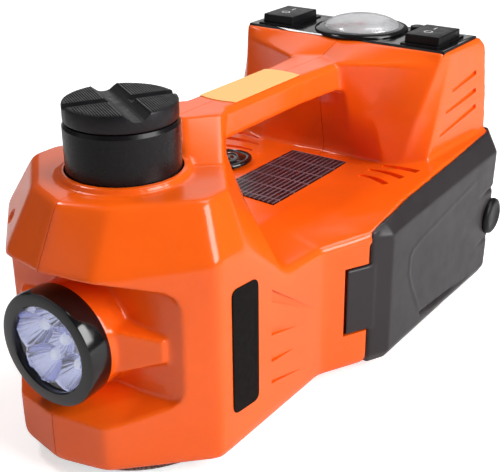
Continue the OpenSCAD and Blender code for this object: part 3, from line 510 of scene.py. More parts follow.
def ground_rings(tree, shader, place):
    """Bump in fine rings round a ground rod."""
    # grinding marks are microns apart; drawn 0.6 mm apart so that they show
    rings = add_node(tree, "ShaderNodeTexWave", {
        "Vector": place, "Scale": 0.3 / (0.6 * MM), "Distortion": 1.0}, bands_direction="Z")
    bump = add_node(tree, "ShaderNodeBump", {"Height": rings.outputs["Fac"], "Distance": 0.002 * MM})
    tree.links.new(bump.outputs["Normal"], shader.inputs["Normal"])


def ruled_table(tree, shader, place):
    """Colour of the deck plate's blank printed table."""
    # rules 0.4 mm thick, columns 2.9 mm apart and cells 13 mm long
    colour = colours().plate
    bricks = add_node(tree, "ShaderNodeTexBrick", {
        "Vector": place, "Color1": colour, "Color2": darker(colour, 0.6), "Mortar": srgb("75636C"),
        "Scale": 1.0, "Mortar Size": 0.42 * MM, "Brick Width": 2.9 * MM, "Row Height": 13 * MM}, offset=0.0)
    tree.links.new(bricks.outputs["Color"], shader.inputs["Base Color"])


PATTERNS = {"steel_chromed": ground_rings, "vinyl_printed_table": ruled_table}


def finish(name):
    """The material of a finish, made once from its row in the table."""
    if name in bpy.data.materials:
        return bpy.data.materials[name]
    colour, roughness, values, varied, bumps = FINISHES[name]
    colour = getattr(colours(), colour) if hasattr(colours(), colour) else srgb(colour)
    material, tree, shader, place = new_material(name, colour, roughness, values)
    for socket, (grain, *ends) in varied.items():
        if socket == "Base Color":
            ends = [srgb(end) if isinstance(end, str) else darker(colour, end) for end in ends]
        vary(tree, shader, socket, place, grain * MM, *ends)
    if bumps:
        roughen(tree, shader, place, bumps)
    if name in PATTERNS:
        PATTERNS[name](tree, shader, place)
    return material


# ---- the housing's own sizes, in millimetres ----

BOTTOM_Z, WAIST_Z, HOOD_Z, DECK_Z, SHOULDER_Z, RIM_Z = 6.8, 76, 123.4, 82, 73.5, 143.4
BODY_W, COVER_Y, FLARE_Y, FLARE_K = 59, 89.5, 65.4, 0.51
REAR_W, COVER_END, TOWER_BACK = 77, 231, 227.4
FLARE_END = FLARE_Y + (REAR_W - BODY_W) / FLARE_K
TORCH_Z, BEZEL_Y, CUP_Y, RECESS_Y = 62.4, -53.5, -42, -27.6
HANDLE_W, HANDLE_Z = 12.4, 138
PANEL_TOP, GAUGE_Y = 144.4, 201
PANEL_PLAN = [(0, 177.9), (61, 177.9), (61, 219.4), (0, 219.4)]


def flare_x(y):
    """Half width of the body where its sides flare out to the cover."""
    return BODY_W + FLARE_K * (y - FLARE_Y)


BODY_PLAN = [(0, -54.5), (24, -49), (BODY_W, -14), (BODY_W, FLARE_Y), (REAR_W, FLARE_END), (REAR_W, 240),
             (0, 240)]
HOOD_PLAN = [(0, -54.5), (24, -49), (BODY_W, -14), (BODY_W, 4.6), (BODY_W, 32.5), (26, 57), (0, 57)]
HOOD_EDGE = [98, 97.6, 101, 99.5, 78.8, DECK_Z, DECK_Z]
HOOD_TOP = [(0, -40.7), (21.3, -32.6), (48, -6.1), (48, 8.3), (31, 29), (HANDLE_W, 52.5), (0, 52.5)]
# y, half width and height of the outer edge, half width and height of the flat middle
DECK_ROWS = [
    (30, BODY_W, 78.6, 23, 82), (FLARE_Y, BODY_W, 76.5, 24.5, 82),
    (COVER_Y, flare_x(COVER_Y), 78.7, 27.5, 82), (FLARE_END, REAR_W, 81, 29, 82),
    (122, REAR_W, 85.8, 31, 82), (142, REAR_W, 86.8, 26, 82.1), (160, REAR_W, 89, 19, 82.8),
    (168, REAR_W, 89, 19, 88), (240, REAR_W, 91.4, 30, 90),
]
# height, the front and side outline, and the half width and y of the rear corner
TOWER_ROWS = [
    (SHOULDER_Z, [(0, 162.5), (19, 162), (42.5, 157.3), (45.6, 157.7), (60.5, 166.5)], 66.8, TOWER_BACK),
    (90, [(0, 162.5), (19, 161.5), (37.6, 158.7), (49.3, 161.2), (61.3, 166.5)], 66.8, TOWER_BACK),
    (112.5, [(0, 158), (18, 156), (31, 160.5), (54.3, 166), (62.2, 174.2)], 66, 227.2),
    (HANDLE_Z, [(0, 160), (15, 150), (37, 163), (60, 175.4), (62.6, 182.6)], 63.7, 226.8),
    (RIM_Z, [(0, 176.2), (15, 176.2), (37, 176.4), (60.5, 176.6), (62.6, 182.6)], 62.8, 220.6),
]
# half width, y of the back wall, then floor and roof at the back and at the front
RECESS = [(0, -27.6, 38.2, 90.2, 30.3, 100.5), (28, -27.6, 38.2, 90.1, 25.5, 101.8),
          (43, -25.6, 38.9, 89.4, 25.5, 101.8), (46.5, -25, 40.4, 87, 27, 99.5),
          (48.3, -24.7, 44, 82.5, 30.5, 95), (54, -24.7, 44, 82.5, 30.5, 95)]
# half width, y of the front face, lower and upper edge of the wings that hold the torch
WINGS = [(0, -40, 51, 72.6), (21, -40, 51, 72.6), (41.3, -28.4, 57.6, 68.2)]
# y, half width and dip of the underside along the handle, from the tower forwards
HANDLE_ROWS = [(164, 18, -3), (150, 15, 0), (120, HANDLE_W, 0), (46, HANDLE_W, 0)]
ROOT_FOOT = [(0, 18.5), (18.7, 18.5), (30, 29.8), (16.4, 50), (0, 50)]
ROOT_CROWN = [(0, 34.8), (4.3, 34.8), (15.2, 48.8), (HANDLE_W, 56), (0, 56)]
# lower front and upper rear ends, y and z, of the vent slots in the tower's sides
SIDE_VENTS = [(187.9, 121.8, 215, 126), (182, 111.4, 215, 116.2), (177.5, 99.8, 215.6, 107)]
# x and y of the two ends and the middle of the vent slots in the deck
DECK_SLOTS = [[(40, 156.4), (50, 156.4), (61.8, 154.6)], [(35.4, 150), (46.4, 149.2), (57.4, 145.4)],
              [(34.2, 142), (43.6, 140.8), (53.2, 135.6)]]
# heights of the two front ends of a scalloped grip, then y and z of the point it runs out to
SCALLOPS = [(68.5, 74.7, 59.9, 48.3), (51.8, 56.3, 46.1, 46.3), (38.3, 40.6, 43.7, 36.1),
            (27.2, 29.2, 50.1, 21.8)]
# y, z and distance from the middle of the recesses of the screws' heads
SCREWS = [(-30, 104, 37), (74, 15, 59), (150, 15, 46), (39, 112, 27), (214, 96, 66)]
CAP_PLACE = Matrix.Translation((-39, 121, 82.4)) @ Matrix.Rotation(radians(-4.5), 4, "Y")


def handle_form():
    """Bar of the handle, its top edges bevelled, flaring into the tower."""
    under = HANDLE_Z - 14.7
    return loft([at_y([(0, under + dip), (w, under + dip), (w, HANDLE_Z - 2.2), (w - 2.2, HANDLE_Z),
                       (0, HANDLE_Z)], y) for y, w, dip in HANDLE_ROWS])


def deck_form():
    """Deck with its sloping sides, down to the waist."""
    return loft([at_y([(0, WAIST_Z - 2), (w, WAIST_Z - 2), (w, z), (flat_w, flat_z), (0, flat_z)], y)
                 for y, w, z, flat_w, flat_z in DECK_ROWS], steps=3)


def across_x(rows):
    """Half a row of upright rings, each with its own x, made whole."""
    whole = [(-x, ring) for x, ring in rows[:0:-1]] + rows
    return [[(x, y, z) for y, z in ring] for x, ring in whole]


def housing_body():
    """The closed outer form of the housing, before the tray, the collar and the openings."""
    body = joined(
        loft([at_z(inset(BODY_PLAN, 3), BOTTOM_Z), at_z(BODY_PLAN, BOTTOM_Z + 3.5),
              at_z(BODY_PLAN, WAIST_Z)]),
        loft([at_z(HOOD_PLAN, WAIST_Z - 2), lifted(HOOD_PLAN, HOOD_EDGE), at_z(HOOD_TOP, HOOD_Z)], steps=5),
        deck_form())
    # creases of the large faces are rounded more than those of the pieces joined later
    soften(body, 1.6 * MM, 12)
    # room for the cover at the sides, below the shoulder and behind; the cutters run past the body
    cut(body, *pair(block((71, COVER_Y + 0.1, -5), (100, 260, 200))),
        block((-100, COVER_Y, -5), (100, 260, SHOULDER_Z)), block((-100, TOWER_BACK, -5), (100, 260, 200)))
    joined(body,
           block((-46, COVER_Y - 2.8, BOTTOM_Z), (46, 190, SHOULDER_Z + 3.8)),
           loft([at_z(front + [(w, y), (0, y)], z) for z, front, w, y in TOWER_ROWS], steps=5),
           handle_form(),
           loft([at_z(ROOT_FOOT, HOOD_Z - 3.8), at_z(ROOT_FOOT, HOOD_Z), at_z(ROOT_CROWN, HANDLE_Z)],
                steps=5))
    cut(body, loft(across_x([(x, [(back, low), (-61, low_front), (-61, high_front), (back, high)])
                             for x, back, low, high, low_front, high_front in RECESS])))
    wings = loft(across_x([(x, [(front, low), (-24, low), (-24, high), (front, high)])
                           for x, front, low, high in WINGS]))
    return joined(body, wings, rod(24.5, (0, CUP_Y, TORCH_Z), (0, RECESS_Y + 1, TORCH_Z)))


def scallop(low, high, y, z):
    """Wedge cut in the side: deep and upright at its front, running out to a point."""
    return loft([[(60, 23, low), (60, y, z), (60, 23, high)],
                 [(57.4, 23, low), (59.2, y, z), (57.4, 23, high)]])


def arc(points, count=9):
    """Smooth curve through three points, as a list of points."""
    a, b, c = (Vector(p) for p in points)
    control = 2 * b - (a + c) / 2
    along = [i / (count - 1) for i in range(count)]
    return [(1 - t) ** 2 * a + 2 * t * (1 - t) * control + t * t * c for t in along]


class JACK_OT_housing(Operator):
    """Mould the orange housing and part it into its two halves"""
    bl_idname = "jack.housing"
    bl_label = "Housing halves"

    def execute(self, context):
        sizes = context.scene.jack_sizes
        grid = QUICK_GRID if QUICK else sizes.mould_grid
        body = housing_body()

        cavity = copied(body)
        soften(cavity, 2 * MM, 3)
        shrink = cavity.modifiers.new("shrink", "DISPLACE")
        shrink.direction, shrink.mid_level, shrink.strength = "NORMAL", 0, -sizes.housing_wall
        settle(cavity)
        soften(cavity, 2 * MM, 0)
        # solid plastic stays round the torch's recess and the screws
        cut(cavity, block((-50, -60, 26), (50, -26, 100)),
            *[rod(4.2, (-80, y, z), (80, y, z)) for y, z, _ in SCREWS])

        joined(body, block((-65, COVER_Y - 1, BOTTOM_Z), (65, 221, BOTTOM_Z + 2.8)),
               rod(27.7, (0, 0, HOOD_Z - 1), (0, 0, HOOD_Z + 2.6)))
        soften(body, grid, 5 if QUICK else 14)
        slots = [groove(body, [(90, y0, z0), (90, (y0 + y1) / 2, (z0 + z1) / 2), (90, y1, z1)],
                        (-1, 0, 0), (0.9, 2.2), (1.0, 1.4)) for y0, z0, y1, z1 in SIDE_VENTS]
        slots += [groove(body, [(x, y, 120) for x, y in arc(points)], (0, 0, -1), (0.9, 3.4), (1.4, 2.0))
                  for points in DECK_SLOTS]
        slots += [scallop(*row) for row in SCALLOPS]
        # windows for the cover's push tabs, and room for the cover's front corners
        slots += [block((flare_x(COVER_Y - 12) - 3.5, COVER_Y - 13.1, 27.1), (REAR_W, COVER_Y + 1, 63.3)),
                  block((62, COVER_Y + 0.05, 60), (90, 96, 77.4))]
        # the hollow, the panel's pocket, then the seats of the cylinder, the base, the torch and the cap
        tools = [
            cavity, *[tool for slot in slots for tool in pair(slot)],
            loft([at_z(PANEL_PLAN, 141.6), at_z(PANEL_PLAN, 150)]),
            rod(25.3, (0, 0, HOOD_Z - 8), (0, 0, HOOD_Z + 8)),
            rod(40.3, (0, 0, 4), (0, 0, 12)),
            rod(22.4, (0, CUP_Y - 2, TORCH_Z), (0, RECESS_Y - 2.8, TORCH_Z)),
            turned([(0, 0), (16.3, 0), (16.3, 20), (0, 20)], CAP_PLACE),
        ]
        # holes for the hose port and the lead gland, then those for the screws' heads and shafts
        tools += [rod(r, (x, 180, 30), (x, 195, 30)) for r, x in ((4.05, 22), (5.05, -22))]
        tools += [rod(3.5, (-x - 12, y, z), (-x + 4.8, y, z), 32) for y, z, x in SCREWS]
        tools += [rod(1.8, (-x, y, z), (12.3, y, z), 24) for y, z, x in SCREWS]
        cut(body, *tools)

        half = sizes.seam / MM / 2
        left = copied(body)
        combine(body, [block((half, -80, 0), (90, 240, 160))], "INTERSECT")
        combine(left, [block((-90, -80, 0), (-half, 240, 160))], "INTERSECT")
        for obj, side in ((body, "right"), (left, "left")):
            obj.name = f"housing_moulding_{side}"
            fit(shade(obj, 30), "jack_body", "abs_moulded_gloss_orange", "housing_orange",
                f"housing_{side}")
        return {"FINISHED"}


# ---- storage cover ----

COVER_FRONT, COVER_WALL, LIP_W = COVER_Y + 0.3, 2.6, 71.7
COVER_PLAN = [(0, COVER_FRONT), (flare_x(COVER_FRONT), COVER_FRONT), (REAR_W, FLARE_END), (REAR_W, 122),
              (REAR_W, 170), (REAR_W + 0.5, 223), (REAR_W - 4, COVER_END), (0, COVER_END)]
BEVEL_PLAN = [(0, COVER_FRONT), (flare_x(COVER_FRONT), COVER_FRONT), (LIP_W, FLARE_END), (LIP_W, 122),
              (LIP_W, 170), (LIP_W, 222), (LIP_W - 3.6, COVER_END - 1.7), (0, COVER_END - 1.7)]
BEVEL_LOW = [75.5, 75.5, 75.2, 76.2, 78, 80.2, 80.2, 80.2]
BEVEL_HIGH = [78.5, 78.7, 81.6, 86, 89, 91.4, 91.4, 91.4]
KNOB_Y, KNOB_Z, KNOB_R = 221, 42, 10.4
# lines on the cover's side, each as y, z and depth below the side (a ridge where it is less than nothing)
SIDE_LINES = [
    [(204, 71.4, 0), (187, 69.4, -0.25), (130.7, 61.1, -0.3), (122.4, 58.9, -0.3), (119.7, 56.1, -0.3),
     (119.3, 46.9, -0.3), (122.7, 38.4, -0.3), (130.8, 25.1, -0.3), (136, 16.9, 0)],
    [(136, 16.9, 1.3), (150.5, 15.4, 1.9), (168, 14.4, 1.6), (187, 13.3, 0.8), (196, 13.3, 0)],
    [(203, 58.5, 0), (214, 58.7, 0.9), (224, 59, 1.4)],
    [(202, 28.8, 0), (212, 28.9, 0.8), (219, 29, 1.2)],
]


def run_on(plan):
    """The cover's plan run forward past its front edge, so that a cut made with it leaves no skin there."""
    back = Vector(plan[1]) - Vector(plan[2])
    way = 2 * back / -back.y
    return [(0, plan[0][1] + way.y), tuple(Vector(plan[1]) + way)] + plan[2:]


def line_depth(y, z):
    """Depth of the lines on the cover's side at a point, from its distance to them."""
    depth = 0.0
    for line in SIDE_LINES:
        for (y0, z0, d0), (y1, z1, d1) in zip(line, line[1:]):
            run = Vector((y1 - y0, z1 - z0))
            t = min(1, max(0, Vector((y - y0, z - z0)).dot(run) / run.length_squared))
            away = hypot(y - y0 - t * run.x, z - z0 - t * run.y)
            here = (d0 + t * (d1 - d0)) * exp(-(away / 1.2) ** 2)
            depth = here if abs(here) > abs(depth) else depth
    return depth


class JACK_OT_cover(Operator):
    """Mould the storage cover that wraps the back, with its push tabs, panels and knob seats"""
    bl_idname = "jack.cover"
    bl_label = "Storage cover"

    def execute(self, context):
        grid = QUICK_GRID if QUICK else context.scene.jack_sizes.mould_grid
        low_plan = [(x, min(y, y - (y - 200) * 0.22)) for x, y in COVER_PLAN]
        cover = loft([at_z(inset(low_plan, 3), 6.4), at_z(low_plan, 11.7),
                      lifted(COVER_PLAN, BEVEL_LOW), lifted(BEVEL_PLAN, BEVEL_HIGH)], steps=3)
        tilt = atan(FLARE_K)
        tab = block((-8, 0, 28), (0.5, 14 / cos(tilt), 62.3))
        tab.data.transform(Matrix.Translation(Vector((flare_x(COVER_Y - 12), COVER_Y - 12, 0)) * MM)
                           @ Matrix.Rotation(-tilt, 4, "Z"))
        joined(cover, *pair(tab))
        soften(cover, grid, 3 if QUICK else 7)
        for vertex in cover.data.vertices:
            x, y, z = vertex.co / MM
            if abs(x) > 74:
                vertex.co.x -= line_depth(y, z) * MM * (1 if x > 0 else -1)
        run_low, run_plan, run_bevel = run_on(low_plan), run_on(COVER_PLAN), run_on(BEVEL_PLAN)
        # the last block opens the floor, where the housing's tray is
        inside = joined(
            loft([at_z(inset(run_low, COVER_WALL + 1.5), 8.6), at_z(inset(run_low, COVER_WALL), 12.7),
                  at_z(inset(run_plan, COVER_WALL), SHOULDER_Z)]),
            loft([at_z(inset(run_bevel, 0.8), 73.2), at_z(inset(run_bevel, 0.8), 147)]),
            block((-65.4, 0, 0), (65.4, 221.4, SHOULDER_Z)))
        cut(cover, inside)
        # boss and pad behind each knob, then its seat and the hole for its stem
        joined(cover, *pair(rod(4.5, (69, KNOB_Y, KNOB_Z), (73, KNOB_Y, KNOB_Z), 32)),
               *pair(block((71.4, KNOB_Y - 12, KNOB_Z - 12), (75.6, 225.5, KNOB_Z + 12))))
        cut(cover, *pair(rod(KNOB_R + 0.3, (REAR_W - 2.9, KNOB_Y, KNOB_Z), (REAR_W + 9, KNOB_Y, KNOB_Z))),
            *pair(rod(2.05, (60, KNOB_Y, KNOB_Z), (90, KNOB_Y, KNOB_Z), 24)))
        cover.name = "cover_moulding"
        fit(shade(cover, 40), "cover", "abs_moulded_satin_grey", "cover_grey", "storage_cover")
        return {"FINISHED"}


class JACK_OT_knobs(Operator):
    """Mould the round latch knobs of the cover"""
    bl_idname = "jack.knobs"
    bl_label = "Latch knobs"

    def execute(self, context):
        for side, name in ((1, "right"), (-1, "left")):
            seat = Matrix.Translation((side * REAR_W, KNOB_Y, KNOB_Z))
            profile = [(0, -9), (2, -9), (2, -0.7), (9.2, -0.7), (10.1, -0.3), (KNOB_R, 0.5), (KNOB_R, 1.4),
                       (10, 2.4), (8.8, 3.1), (7.4, 3.4), (6.6, 3), (0, 3)]
            knob = turned(profile, seat @ Matrix.Rotation(side * pi / 2, 4, "Y"), 96, f"latch_knob_{name}")
            fit(shade(knob, 40), f"knob_{name}", "nylon_moulded_satin_black", "black_plastic",
                f"cover_knob_{name}")
        return {"FINISHED"}


# ---- saddle and ram ----

class JACK_OT_saddle(Operator):
    """Forge the saddle with its V groove, cross groove and grip ribs"""
    bl_idname = "jack.saddle"
    bl_label = "Saddle and ram"

    def execute(self, context):
        low, high, vee_w = 147.2, 155.0, 5.75
        pitch = context.scene.jack_sizes.rib_pitch / MM
        turn = Matrix.Rotation(radians(-31), 4, "Z")
        saddle = turned([(0, 137.3), (7.95, 137.3), (7.95, low), (23, low), (23.7, low + 0.3),
                         (24, low + 1), (24, high - 1), (23.7, high - 0.3), (23, high), (0, high)], steps=128)
        vee = [(6.4, high + 1), (vee_w, high), (5.2, high - 0.7), (2.6, high - 2.7), (1.2, high - 3.2)]
        vee = [(-y, z) for y, z in vee] + vee[::-1]
        tools = [loft([[(x, y, z) for y, z in vee] for x in (-30, 30)]),
                 block((-2.9, -30, high - 1.6), (2.9, 30, high + 1))]
        for side in (-1, 1):
            for i in range(1, int((23 - vee_w) / pitch)):
                y = side * (vee_w + i * pitch)
                notch = [(y - 0.3 * pitch, high + 0.2), (y, high - 0.7), (y + 0.3 * pitch, high + 0.2)]
                tools.append(loft([[(x, y, z) for y, z in notch] for x in (-30, 30)]))
        for tool in tools:
            tool.data.transform(turn)
        cut(saddle, *tools)
        saddle.name = "saddle_forging"
        fit(shade(saddle, 25), "ram_3", "steel_forged_blackened", "black_paint", "saddle")
        dress("steel_chromed", "ram_stage_1", "ram_stage_2", "ram_stage_3", "cylinder_gland")
        dress("steel_painted_black", "jack_cylinder")
        dress("iron_cast_painted_grey", "jack_base")
        return {"FINISHED"}


# ---- torch ----

LENS_R, BEZEL_R, LAMP_RING_R, LAMPS = 19.3, 25.6, 11.8, 6
REFLECTOR_R, REFLECTOR_Y, REFLECTOR_BACK = 20.5, -49.6, -38.0
TORCH_PLACE = Matrix.Translation((0, 0, TORCH_Z)) @ Matrix.Rotation(pi / 2, 4, "X")


def lamp_place(i):
    """Place of a lamp across the torch: one in the middle, the rest in a ring."""
    a = pi / 2 + i * 2 * pi / (LAMPS - 1)
    return (0, 0) if i == 0 else (LAMP_RING_R * cos(a), LAMP_RING_R * sin(a))


def bowl_depth(x, z, flutes):
    """Depth of the reflector at a point: the deepest of the fluted bowls round the lamps."""
    depth = 0.6
    for i in range(LAMPS):
        cx, cz = lamp_place(i)
        r, a = hypot(x - cx, z - cz), atan2(z - cz, x - cx)
        ripple = 0.45 * abs(cos(flutes * a / 2)) * min(1, r / 6)
        depth = max(depth, 11.2 * (1 - (r / 9.6) ** 2) - ripple)
    return min(depth, 10.6)


class JACK_OT_torch(Operator):
    """Build the torch: bezel, fluted reflector and lens"""
    bl_idname = "jack.torch"
    bl_label = "Torch"

    def execute(self, context):
        front, cup, back = -BEZEL_Y, -CUP_Y, 36.3
        bezel = turned([(LENS_R, front - 0.5), (LENS_R + 0.5, front), (24.2, front), (25.2, front - 0.5),
                        (BEZEL_R, front - 1.6), (25.2, cup), (22.3, cup), (22.3, back), (20.6, back),
                        (20.6, front - 2), (LENS_R, front - 2)], TORCH_PLACE, 128, "torch_bezel_moulding")
        fit(shade(bezel, 40), "jack_body", "abs_moulded_gloss_black", "black_gloss", "torch_bezel")

        flutes, rings, steps = context.scene.jack_sizes.flutes, 64, 240
        circle = [(cos(2 * pi * i / steps), sin(2 * pi * i / steps)) for i in range(steps)]
        spots = [(0, 0)] + [(REFLECTOR_R * j / rings * c, REFLECTOR_R * j / rings * d)
                            for j in range(1, rings + 1) for c, d in circle]
        points = [(x, REFLECTOR_Y + bowl_depth(x, z, flutes), TORCH_Z + z) for x, z in spots]
        points += [(REFLECTOR_R * c, REFLECTOR_BACK, TORCH_Z + REFLECTOR_R * d) for c, d in circle]
        faces = [[rings * steps + 1 + i for i in range(steps)]]
        for i in range(steps):
            k = (i + 1) % steps
            faces.append([0, 1 + i, 1 + k])
            for near in range(1, rings * steps + 1, steps):
                far = near + steps
                faces.append([near + i, far + i, far + k, near + k])
        reflector = make_object("torch_reflector_fluted", points, faces)
        fit(shade(reflector, 60), "jack_body", "plastic_silvered", "reflector", "torch_reflector")
        dress("polycarbonate_clear", "torch_lens")
        # the lamps' resin carries a faint painted glow
        dress("resin_clear_lamp", "torch_leds")
        dress("fibreglass_green_solder_mask", "torch_board")
        return {"FINISHED"}


# ---- control panel and gauge ----

ROCKER_X, ROCKER_Y, ROCKER_Z = 45, 197.5, 143.2


class JACK_OT_panel(Operator):
    """Mould the control panel, its rockers with their frames and marks, and the lamp button"""
    bl_idname = "jack.panel"
    bl_label = "Control panel and switches"

    def execute(self, context):
        edge, top = context.scene.jack_sizes.edge, 6.3
        for node, body, material, slot, width in [
                ("control_panel", "jack_body", "abs_moulded_gloss_black", "black_gloss", edge),
                ("rocker_frames", "jack_body", "nylon_moulded_satin_black", "black_plastic", edge / 2),
                ("lamp_button", "torch_button", "nylon_moulded_satin_black", "black_plastic", edge)]:
            piece = node_copy(node, f"{node}_moulding")
            if node == "control_panel":
                plan = [(x - 0.2 * (x > 0), y + (0.2 if y < GAUGE_Y else -0.2)) for x, y in PANEL_PLAN]
                combine(piece, [loft([at_z(plan, 130), at_z(plan, 150)])], "INTERSECT")
            fit(bevel_edges(piece, width), body, material, slot, node)
        for side, body, name in ((-1, "jack_rocker", "jack"), (1, "inflator_rocker", "inflator")):
            ring = [(-13.3, -3), (-13.3, 1.5), (-12.8, top), (12.8, top), (13.3, 1.5), (13.3, -3)]
            piece = loft([[(side * ROCKER_X + x, ROCKER_Y + y, ROCKER_Z + z) for y, z in ring]
                          for x in (-9.8, 9.8)], f"rocker_{name}_moulding")
            fit(bevel_edges(piece, edge), body, "nylon_moulded_satin_black", "black_plastic",
                f"rocker_{name}")
            marks = [letters(text, 6.6, Matrix.Translation(
                (side * ROCKER_X - 1, ROCKER_Y + y, ROCKER_Z + top + 0.03)))
                for text, y in (("I", 5), ("O", -3.5))]
            fit(gathered(marks, f"rocker_marks_{name}"), body, "ink_printed_white", "dial_white")
        dress("nylon_moulded_satin_black", "lamp_switch", "oil_tank", "cord_gland")
        dress("fibreglass_green_solder_mask", "control_board")
        return {"FINISHED"}


class JACK_OT_gauge(Operator):
    """Build the pressure gauge: bezel, printed dial, needle and domed lens"""
    bl_idname = "jack.gauge"
    bl_label = "Pressure gauge"

    def execute(self, context):
        place = Matrix.Translation((0, GAUGE_Y, 0))
        bezel = turned([(20.8, PANEL_TOP), (26, PANEL_TOP), (26, 145), (25.5, 145.6), (21.6, 146.5),
                        (20.8, 146.4)], place, 128, "gauge_bezel_ring")
        fit(shade(bezel, 40), "jack_body", "abs_moulded_gloss_black", "black_gloss", "gauge_bezel")
        dome = [(20.7 * sin(radians(a)), 146 + 6.2 * cos(radians(a))) for a in range(90, -1, -6)]
        lens = turned([(19.7, 145), (20.7, 145), *dome[:-1], (0, 152.2), (0, 151.2),
                       *[(x * 0.95, z - 1) for x, z in dome[-2:0:-1]]], place, 128, "gauge_lens_domed")
        fit(shade(lens, 50), "jack_body", "polycarbonate_hazed", "clear_lens", "gauge_lens")
        top, marks = 145.8, []
        for i in range(41):
            a = radians(225 - i * 270 / 40)
            long, thick = (3.2, 0.35) if i % 4 == 0 else (1.7, 0.2)
            tick = block((18.8 - long, -thick, top), (18.8, thick, top + 0.08))
            tick.data.transform(Matrix.Translation((0, GAUGE_Y * MM, 0)) @ Matrix.Rotation(a, 4, "Z"))
            marks.append(tick)
            if i % 8 == 0:
                x, y = 12.4 * cos(a), 12.4 * sin(a)
                marks.append(letters(str(i // 4), 3.4, Matrix.Translation((x, GAUGE_Y + y, top + 0.05))))
        fit(gathered(marks, "gauge_dial_marks"), "jack_body", "ink_printed_black", "black_gloss")
        dress("enamel_printed_white", "gauge_dial")
        dress("lacquer_red", "gauge_needle")
        dress("brass_turned", "gauge_body")
        return {"FINISHED"}


# ---- plates, caps and hidden works ----

class JACK_OT_plates(Operator):
    """Fit the side badges, the deck plate, the filler cap and the handle patch"""
    bl_idname = "jack.plates"
    bl_label = "Plates, cap and patch"

    def execute(self, context):
        outline = rounded([(-6, 27), (12.6, 25.3), (12.6, 84.9), (-6, 86.4)], 4)
        badges = []
        for side in (-1, 1):
            small = [((y - 3.3) * 0.97 + 3.3, (z - 56) * 0.99 + 56) for y, z in outline]
            badges.append(loft([[(side * x, y, z) for y, z in ring] for x, ring in
                                ((58.4, outline), (59.35, outline), (59.6, small))]))
        fit(shade(gathered(badges, "side_badge_plates"), 30), "jack_body", "vinyl_printed_black",
            "black_gloss", "side_badges")
        corners = [(-16.5, 102), (-2, 87), (18.2, 85.4), (18.8, 161.5), (-16.2, 162.8)]
        plate = loft([[(x, y, z) for x, y in corners] for z in (81.6, 82.7)], "deck_plate_printed")
        fit(shade(plate), "jack_body", "vinyl_printed_table", "black_gloss", "deck_plate")

        cap = turned([(0, 0), (16, 0), (16, 1.2), (15.6, 1.7), (14.4, 1.9), (13.8, 1.4), (12.4, 1.4),
                      (11.8, 1.9), (8, 2.3), (7.4, 1.8), (6.2, 1.8), (5.6, 2.3), (0, 2.4)],
                     CAP_PLACE, 96, "filler_cap_moulding")
        fit(shade(cap, 45), "jack_body", "abs_moulded_gloss_black", "black_gloss", "filler_cap")
        dress("vinyl_printed_yellow", "handle_patch")
        return {"FINISHED"}


class JACK_OT_works(Operator):
    """Finish the pump, the compressor and the other works inside"""
    bl_idname = "jack.works"
    bl_label = "Works inside"

    def execute(self, context):
        dress("aluminium_die_cast", "pump_block", "compressor_crankcase", "compressor_cylinder")
        dress("iron_cast_painted_grey", "pump_gearbox")
        dress("steel_turned_zinc", "pump_motor", "compressor_motor", "housing_screws")
        dress("brass_turned", "release_valve", "hose_port", "compressor_head")
        dress("rubber_moulded_black", "rear_feet")
        return {"FINISHED"}


# ---- stage ----

WHITE = (1, 1, 1, 1)
# name, place and aim in metres, power in watts and width in metres
LIGHTS = [
    ("key", (1.28, 0.18, 0.75), (0, 0.08, 0.08), 23, 0.85),
    ("top_soft", (0.35, 0.55, 1.35), (0, 0.1, 0.08), 7, 0.7),
    ("back_card", (-1.6, 2.3, 1.35), (0, 0.1, 0.1), 9, 1.9),
    ("front_fill", (-0.9, -1.4, 0.5), (0, 0, 0.08), 2, 1.2),
    ("left_glint", (-0.62, -0.05, 1.0), (0, 0, 0.1), 3.5, 0.2),
]
# the camera's place in metres, then its turn from the front, its rise and its roll in degrees
CAMERA_SPOT, CAMERA_TURN, CAMERA_RISE, CAMERA_ROLL = (0.27105, -0.2933, 0.2749), 35.2, 24.7, -0.55


def lay_floor():
    """Pale matt floor that glows a little towards the camera, so that it is white and keeps its shadow."""
    floor = block((-3000, -3000, -20), (3000, 3000, 0), "floor")
    material, tree, shader, _ = new_material("floor_paper_matt_white", srgb("E8E8E8"), 0.9)
    ray = add_node(tree, "ShaderNodeLightPath")
    glow = add_node(tree, "ShaderNodeEmission", {"Color": WHITE, "Strength": 0.6})
    clear = add_node(tree, "ShaderNodeEmission", {"Color": WHITE, "Strength": 0.0})
    seen = add_node(tree, "ShaderNodeMixShader", {
        "Fac": ray.outputs["Is Camera Ray"], 1: clear.outputs[0], 2: glow.outputs[0]})
    both = add_node(tree, "ShaderNodeAddShader", {0: shader.outputs[0], 1: seen.outputs[0]})
    tree.links.new(both.outputs[0], tree.nodes["Material Output"].inputs["Surface"])
    floor.data.materials.append(material)


def white_world(scene):
    """World that is white where it is seen and dim where it lights, so that the lamps shape the piece."""
    scene.world = bpy.data.worlds.new("studio")
    scene.world.use_nodes = True
    tree = scene.world.node_tree
    tree.nodes.clear()
    ray = add_node(tree, "ShaderNodeLightPath")
    # glossy rays count for nothing here, so that polished faces mirror only the lamps
    seen = add_node(tree, "ShaderNodeMath", {
        0: ray.outputs["Is Glossy Ray"], 1: 0.0, 2: ray.outputs["Is Camera Ray"]}, operation="MULTIPLY_ADD")
    seen = add_node(tree, "ShaderNodeMath", {
        0: seen.outputs[0], 1: ray.outputs["Is Transmission Ray"]}, operation="ADD", use_clamp=True)
    strength = add_node(tree, "ShaderNodeMapRange", {"Value": seen.outputs[0], "To Min": 0.1, "To Max": 1.0})
    background = add_node(tree, "ShaderNodeBackground", {
        "Color": WHITE, "Strength": strength.outputs["Result"]})
    add_node(tree, "ShaderNodeOutputWorld", {"Surface": background.outputs[0]})


